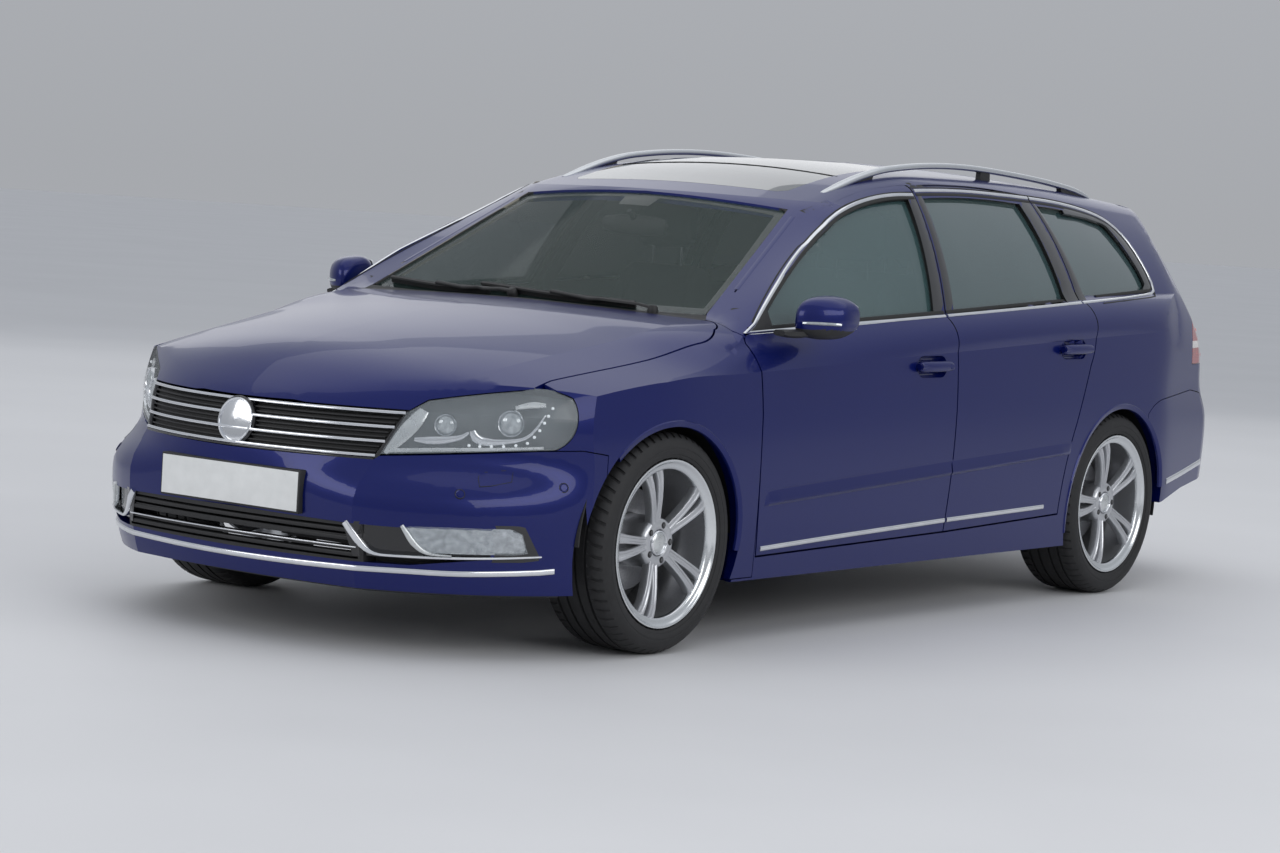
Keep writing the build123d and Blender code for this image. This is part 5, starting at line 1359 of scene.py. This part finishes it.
# Of each: rings of x, z, half width and half thickness; bolster, upright, points to a ring, voxel, most
# swelling; seams as axis, place, width and depth; and where its copies go.
for name, gone, stations, bolster, upright, count, voxel, cap, pinch, spots in (
    ("seat_pad", ["front_seats"],
     ((0.010, 0.474, 0.200, 0.026), (0.030, 0.474, 0.228, 0.040), (0.120, 0.480, 0.238, 0.047),
      (0.260, 0.488, 0.240, 0.050), (0.400, 0.496, 0.236, 0.053), (0.455, 0.495, 0.224, 0.047),
      (0.478, 0.492, 0.196, 0.032)),
     0.014, False, 28, 0.011, 0.012,
     ((1, 0.135, 0.006, 0.007), (1, -0.135, 0.006, 0.007), (0, 0.290, 0.006, 0.005)), PAIR),
    ("seat_backrest", [],
     ((-0.072, 0.500, 0.195, 0.030), (-0.080, 0.530, 0.225, 0.042), (-0.104, 0.640, 0.240, 0.046),
      (-0.134, 0.790, 0.240, 0.044), (-0.163, 0.930, 0.226, 0.040), (-0.188, 1.045, 0.196, 0.035),
      (-0.196, 1.088, 0.150, 0.024)),
     0.016, True, 28, 0.011, 0.012,
     ((1, 0.130, 0.006, 0.007), (1, -0.130, 0.006, 0.007), (2, 0.860, 0.006, 0.005)), PAIR),
    ("headrest", [],
     ((-0.184, 1.140, 0.090, 0.020), (-0.184, 1.155, 0.112, 0.030), (-0.182, 1.225, 0.120, 0.034),
      (-0.182, 1.285, 0.108, 0.029), (-0.184, 1.303, 0.080, 0.018)),
     0, True, 28, 0.008, 0.008, ((2, 1.165, 0.004, 0.003),), PAIR),
    ("bench_pad", ["rear_seat"],
     ((-0.935, 0.478, 0.560, 0.030), (-0.915, 0.480, 0.600, 0.046), (-0.780, 0.492, 0.612, 0.052),
      (-0.600, 0.502, 0.612, 0.054), (-0.500, 0.508, 0.605, 0.050), (-0.465, 0.505, 0.575, 0.032)),
     0, False, 56, 0.013, 0.012,
     ((1, 0.205, 0.008, 0.010), (1, -0.205, 0.008, 0.010), (0, -0.600, 0.007, 0.004)), ONE),
    ("bench_backrest", [],
     ((-0.955, 0.565, 0.570, 0.030), (-0.965, 0.600, 0.605, 0.042), (-0.998, 0.720, 0.612, 0.046),
      (-1.040, 0.880, 0.608, 0.044), (-1.080, 1.030, 0.590, 0.038), (-1.100, 1.092, 0.550, 0.024)),
     0, True, 56, 0.013, 0.012,
     ((1, 0.205, 0.008, 0.010), (1, -0.205, 0.008, 0.010), (2, 0.900, 0.007, 0.004)), ONE),
    ("bench_headrest", [],
     ((-1.100, 1.135, 0.080, 0.016), (-1.100, 1.150, 0.100, 0.024), (-1.100, 1.215, 0.108, 0.027),
      (-1.102, 1.268, 0.096, 0.022), (-1.104, 1.282, 0.072, 0.013)),
     0, True, 28, 0.008, 0.006, (), (("_left", BENCH_REST_Y), ("_middle", 0), ("_right", -BENCH_REST_Y))),
):
    pattern = plumped(name + "_pattern", cushion(stations, count, bolster, upright), voxel, cap, pinch)
    for ending, shift_y in spots:
        copy = pattern.copy()
        copy.data = pattern.data.copy()
        copy.name = name + ending
        scene.collection.objects.link(copy)
        for v in copy.data.vertices:
            v.co.y += shift_y
        dress(copy, *gone, body="body", slot="seat_cloth")
    bpy.data.objects.remove(pattern)


def post(start, end):
    start, end = Vector(start), Vector(end)
    return sweep([start, (start + end) / 2, end], [X] * 3, oval(0.006, 0.006, 10))


posts = [post((-0.190, y, 1.060), (-0.184, y, 1.175)) for y in (SEAT_Y - 0.062, SEAT_Y + 0.062)]
piece("headrest_posts", joined(*posts), CHROME)
posts = [post((-1.096, y, 1.070), (-1.100, y, 1.165))
         for c in (-BENCH_REST_Y, 0, BENCH_REST_Y) for y in (c - 0.05, c + 0.05)]
single("bench_posts", joined(*posts), CHROME)
seat_base = joined(hull_box((0.020, 0.165, 0.296), (0.450, 0.200, 0.440), 0.3),
                   hull_box((0.020, 0.570, 0.296), (0.450, 0.605, 0.440), 0.3),
                   hull_box((0.015, 0.150, 0.380), (0.465, 0.620, 0.446), 0.25))
piece("seat_base", seat_base, BLACK)
single("bench_base", hull_box((-0.965, -0.600, 0.401), (-0.470, 0.600, 0.450), 0.3), BLACK)

# The steering wheel, its plane square to the column.
COLUMN = Vector((-math.cos(math.radians(24)), 0, math.sin(math.radians(24))))
WHEEL_MIDDLE = Vector((0.470, 0.370, 0.800))
UPWARD = COLUMN.cross(Y).normalized()
UPWARD = UPWARD if UPWARD.z > 0 else -UPWARD


def wheel_point(right, up, out):
    return WHEEL_MIDDLE - Y * right + UPWARD * up + COLUMN * out


def steering(name, shape, mat, **options):
    single(name, shape, mat, BODY_OF["steering_wheel"], **options)


angles = [TURN * i / 72 for i in range(72)]
points = [wheel_point(0.185 * math.sin(a), 0.185 * math.cos(a), 0) for a in angles]
swell = [(1 + 0.10 * math.exp(-((math.cos(a) - 0.35) / 0.25) ** 2), 1) for a in angles]
rim = sweep(points, [COLUMN] * 72, oval(0.0135, 0.0145, 14), swell, closed=True)
steering("steering_rim", rim, LEATHER, replaced="steering_wheel", angle=60)
arms = []
ARM_ROWS = ((0.040, 0.058), (0.080, 0.050), (0.120, 0.036), (0.160, 0.028), (0.178, 0.026))  # radius, width
for right, up in ((-1, 0.10), (1, 0.10), (0, -1)):
    points = [wheel_point(right * r, up * (0.05 if right else r), -0.012 + 0.006 * r / 0.18) for r, _ in ARM_ROWS]
    section = mirrored([(-0.5, -0.006), (-0.5, 0.003), (-0.42, 0.006)])
    arms.append(sweep(points, [COLUMN] * 5, section, [(w, 1) for _, w in ARM_ROWS]))
steering("steering_arms", joined(*arms), BLACK, slot="dash_plastic", angle=45)
pad = [(0, -0.034), (0.058, -0.034), (0.062, -0.020), (0.062, -0.004), (0.058, 0.004), (0.045, 0.009), (0.020, 0.011),
       (0, 0.0115)]
steering("steering_pad", turned_about(pad, WHEEL_MIDDLE, COLUMN), DASH, angle=50)
ring = [(0.024, 0.0095), (0.030, 0.0085), (0.030, 0.0115), (0.027, 0.0130), (0.024, 0.0120)]
steering("steering_ring", turned_about(ring, WHEEL_MIDDLE, COLUMN, 40), SATIN, angle=60)

# The dashboard: a moulded top with an instrument hood, vents, a screen and a console.
DASH_LINE = ((1.108, 0.870), (1.060, 0.878), (1.035, 0.921), (0.960, 0.9235), (0.880, 0.9220), (0.830, 0.910),
             (0.800, 0.893), (0.782, 0.868), (0.772, 0.840), (0.780, 0.790), (0.800, 0.700), (0.850, 0.640),
             (0.900, 0.602))


def moulded(y):
    """The dashboard's section at a place across the car: it swells over the instruments."""
    hood = math.exp(-((y - 0.37) / 0.17) ** 4)
    edge = 1 - 0.5 * max(0.0, (abs(y) - 0.64) / 0.06)
    out = []
    for x, z in DASH_LINE:
        front = max(0.0, min(1.0, (1.0 - x) / 0.2))
        out.append(Vector((x + 0.012 * (1 - edge), y, z - 0.010 * (1 - hood) * front - 0.004 * (1 - edge))))
    return out + [Vector((1.105, y, 0.600))]


tube = sweep([WHEEL_MIDDLE - COLUMN * d for d in (0.045, 0.10, 0.20, 0.36)], [UPWARD] * 4, oval(0.032, 0.034, 20))
top = skin([moulded(-0.698 + 1.396 * i / 48) for i in range(49)])
single("dash_moulding", joined(top, tube), DASH, replaced="dashboard", angle=32)
for name, low_y, high_y, low_z, high_z, proud, mat in (
    ("outer_vents", 0.600, 0.680, 0.800, 0.858, 0.006, GLOSS_BLACK),
    ("middle_vent_right", -0.110, -0.010, 0.812, 0.858, 0.006, GLOSS_BLACK),
    ("middle_vent_left", 0.010, 0.110, 0.812, 0.858, 0.006, GLOSS_BLACK),
    ("console_screen", -0.105, 0.105, 0.690, 0.800, 0.004, GLOSS_BLACK),
    ("instrument_glass", 0.270, 0.470, 0.806, 0.872, 0.002, GLOSS_BLACK),
    ("dash_inlay", -0.560, -0.160, 0.760, 0.778, 0.004, SATIN),
    ("glove_lid", -0.560, -0.160, 0.640, 0.750, 0.003, DASH),
):
    x = 0.782 - 0.010 * min(max(((low_z + high_z) / 2 - 0.70) / 0.14, 0), 1)
    block = hull_box((x - proud, low_y, low_z), (x + 0.030, high_y, high_z), 0.3)
    piece(name, block, mat, slot="dash_plastic", both=name == "outer_vents")
stalk = [Vector(p) for p in ((0.575, 0, 1.262), (0.560, 0, 1.250), (0.545, 0, 1.232))]
single("mirror_stalk", sweep(stalk, [X] * 3, oval(0.010, 0.008, 12)), BLACK, slot="dash_plastic")
bean_rows = [(-0.128, 0.010), (-0.120, 0.024), (-0.060, 0.032), (0, 0.034), (0.060, 0.032), (0.120, 0.024),
             (0.128, 0.010)]
bean = [[Vector((0.540 + a, y, 1.215 + b)) for a, b in oval(0.014, high, 24)] for y, high in bean_rows]
single("inside_mirror", skin(bean), BLACK, slot="dash_plastic", angle=60)

# ---------------------------------------------------------------- floor, light and camera

FLOOR_HALF = 90
FOCAL, PICTURE_WIDTH, SENSOR = 3183.1, 1280, 36  # pixels, pixels, millimetres
CAMERA = (8.9099, 6.1643, 1.3425)
YAW, PITCH, ROLL = (math.radians(a) for a in (-143.952, -4.315, 3.633))


def stage():
    h = FLOOR_HALF
    mesh = bpy.data.meshes.new("floor")
    mesh.from_pydata([(-h, -h, 0), (h, -h, 0), (h, h, 0), (-h, h, 0)], [], [(0, 1, 2, 3)])
    mesh.materials.append(material("pale_floor", None, (0.66, 0.66, 0.67), (0.70, 0.70, 0.71), (0.5, 0.65), 0, 0.6))
    placed("floor", mesh)
    scene.world = bpy.data.worlds.new("studio")
    scene.world.use_nodes = True
    tree = scene.world.node_tree
    coords, split, ramp = (tree.nodes.new("ShaderNode" + kind) for kind in ("TexCoord", "SeparateXYZ", "ValToRGB"))
    fade(ramp, (0, 0.45), ((0.62, 0.64, 0.68), (0.86, 0.90, 0.97)))
    tree.links.new(coords.outputs["Generated"], split.inputs["Vector"])
    tree.links.new(split.outputs["Z"], ramp.inputs["Fac"])
    tree.links.new(ramp.outputs["Color"], tree.nodes["Background"].inputs["Color"])
    put(tree.nodes["Background"], Strength=0.62)
    for name, place, aim, size, power in (
        ("roof_light", (-1.0, 0.0, 8.0), (0, 0, 0), (14.0, 10.0), 215),
        ("side_light", (2.0, 10.0, 4.6), (0, 0, 0.7), (11.0, 4.0), 330),
        ("nose_light", (10.0, -3.5, 4.0), (1.5, 0, 0.6), (7.0, 3.5), 200),
        ("back_light", (-9.0, -6.0, 4.5), (0, 0, 0.8), (12.0, 5.0), 95),
    ):
        light = bpy.data.lights.new(name, "AREA")
        light.shape = "RECTANGLE"
        light.size, light.size_y = size
        light.energy = power
        obj = placed(name, light)
        obj.location = place
        obj.rotation_euler = (Vector(aim) - Vector(place)).to_track_quat("-Z", "Y").to_euler()
    data = bpy.data.cameras.new("camera")
    data.sensor_width = SENSOR
    data.lens = FOCAL / PICTURE_WIDTH * SENSOR
    data.clip_end = 100
    camera = placed("camera", data)
    ahead = Vector((math.cos(PITCH) * math.cos(YAW), math.cos(PITCH) * math.sin(YAW), math.sin(PITCH)))
    right = ahead.cross(Z).normalized()
    up = right.cross(ahead)
    right, up = (right * math.cos(ROLL) + up * math.sin(ROLL), up * math.cos(ROLL) - right * math.sin(ROLL))
    camera.matrix_world = Matrix.Translation(CAMERA) @ Matrix((right, up, -ahead)).transposed().to_4x4()
    scene.camera = camera
    scene.view_settings.view_transform = "Standard"


stage()
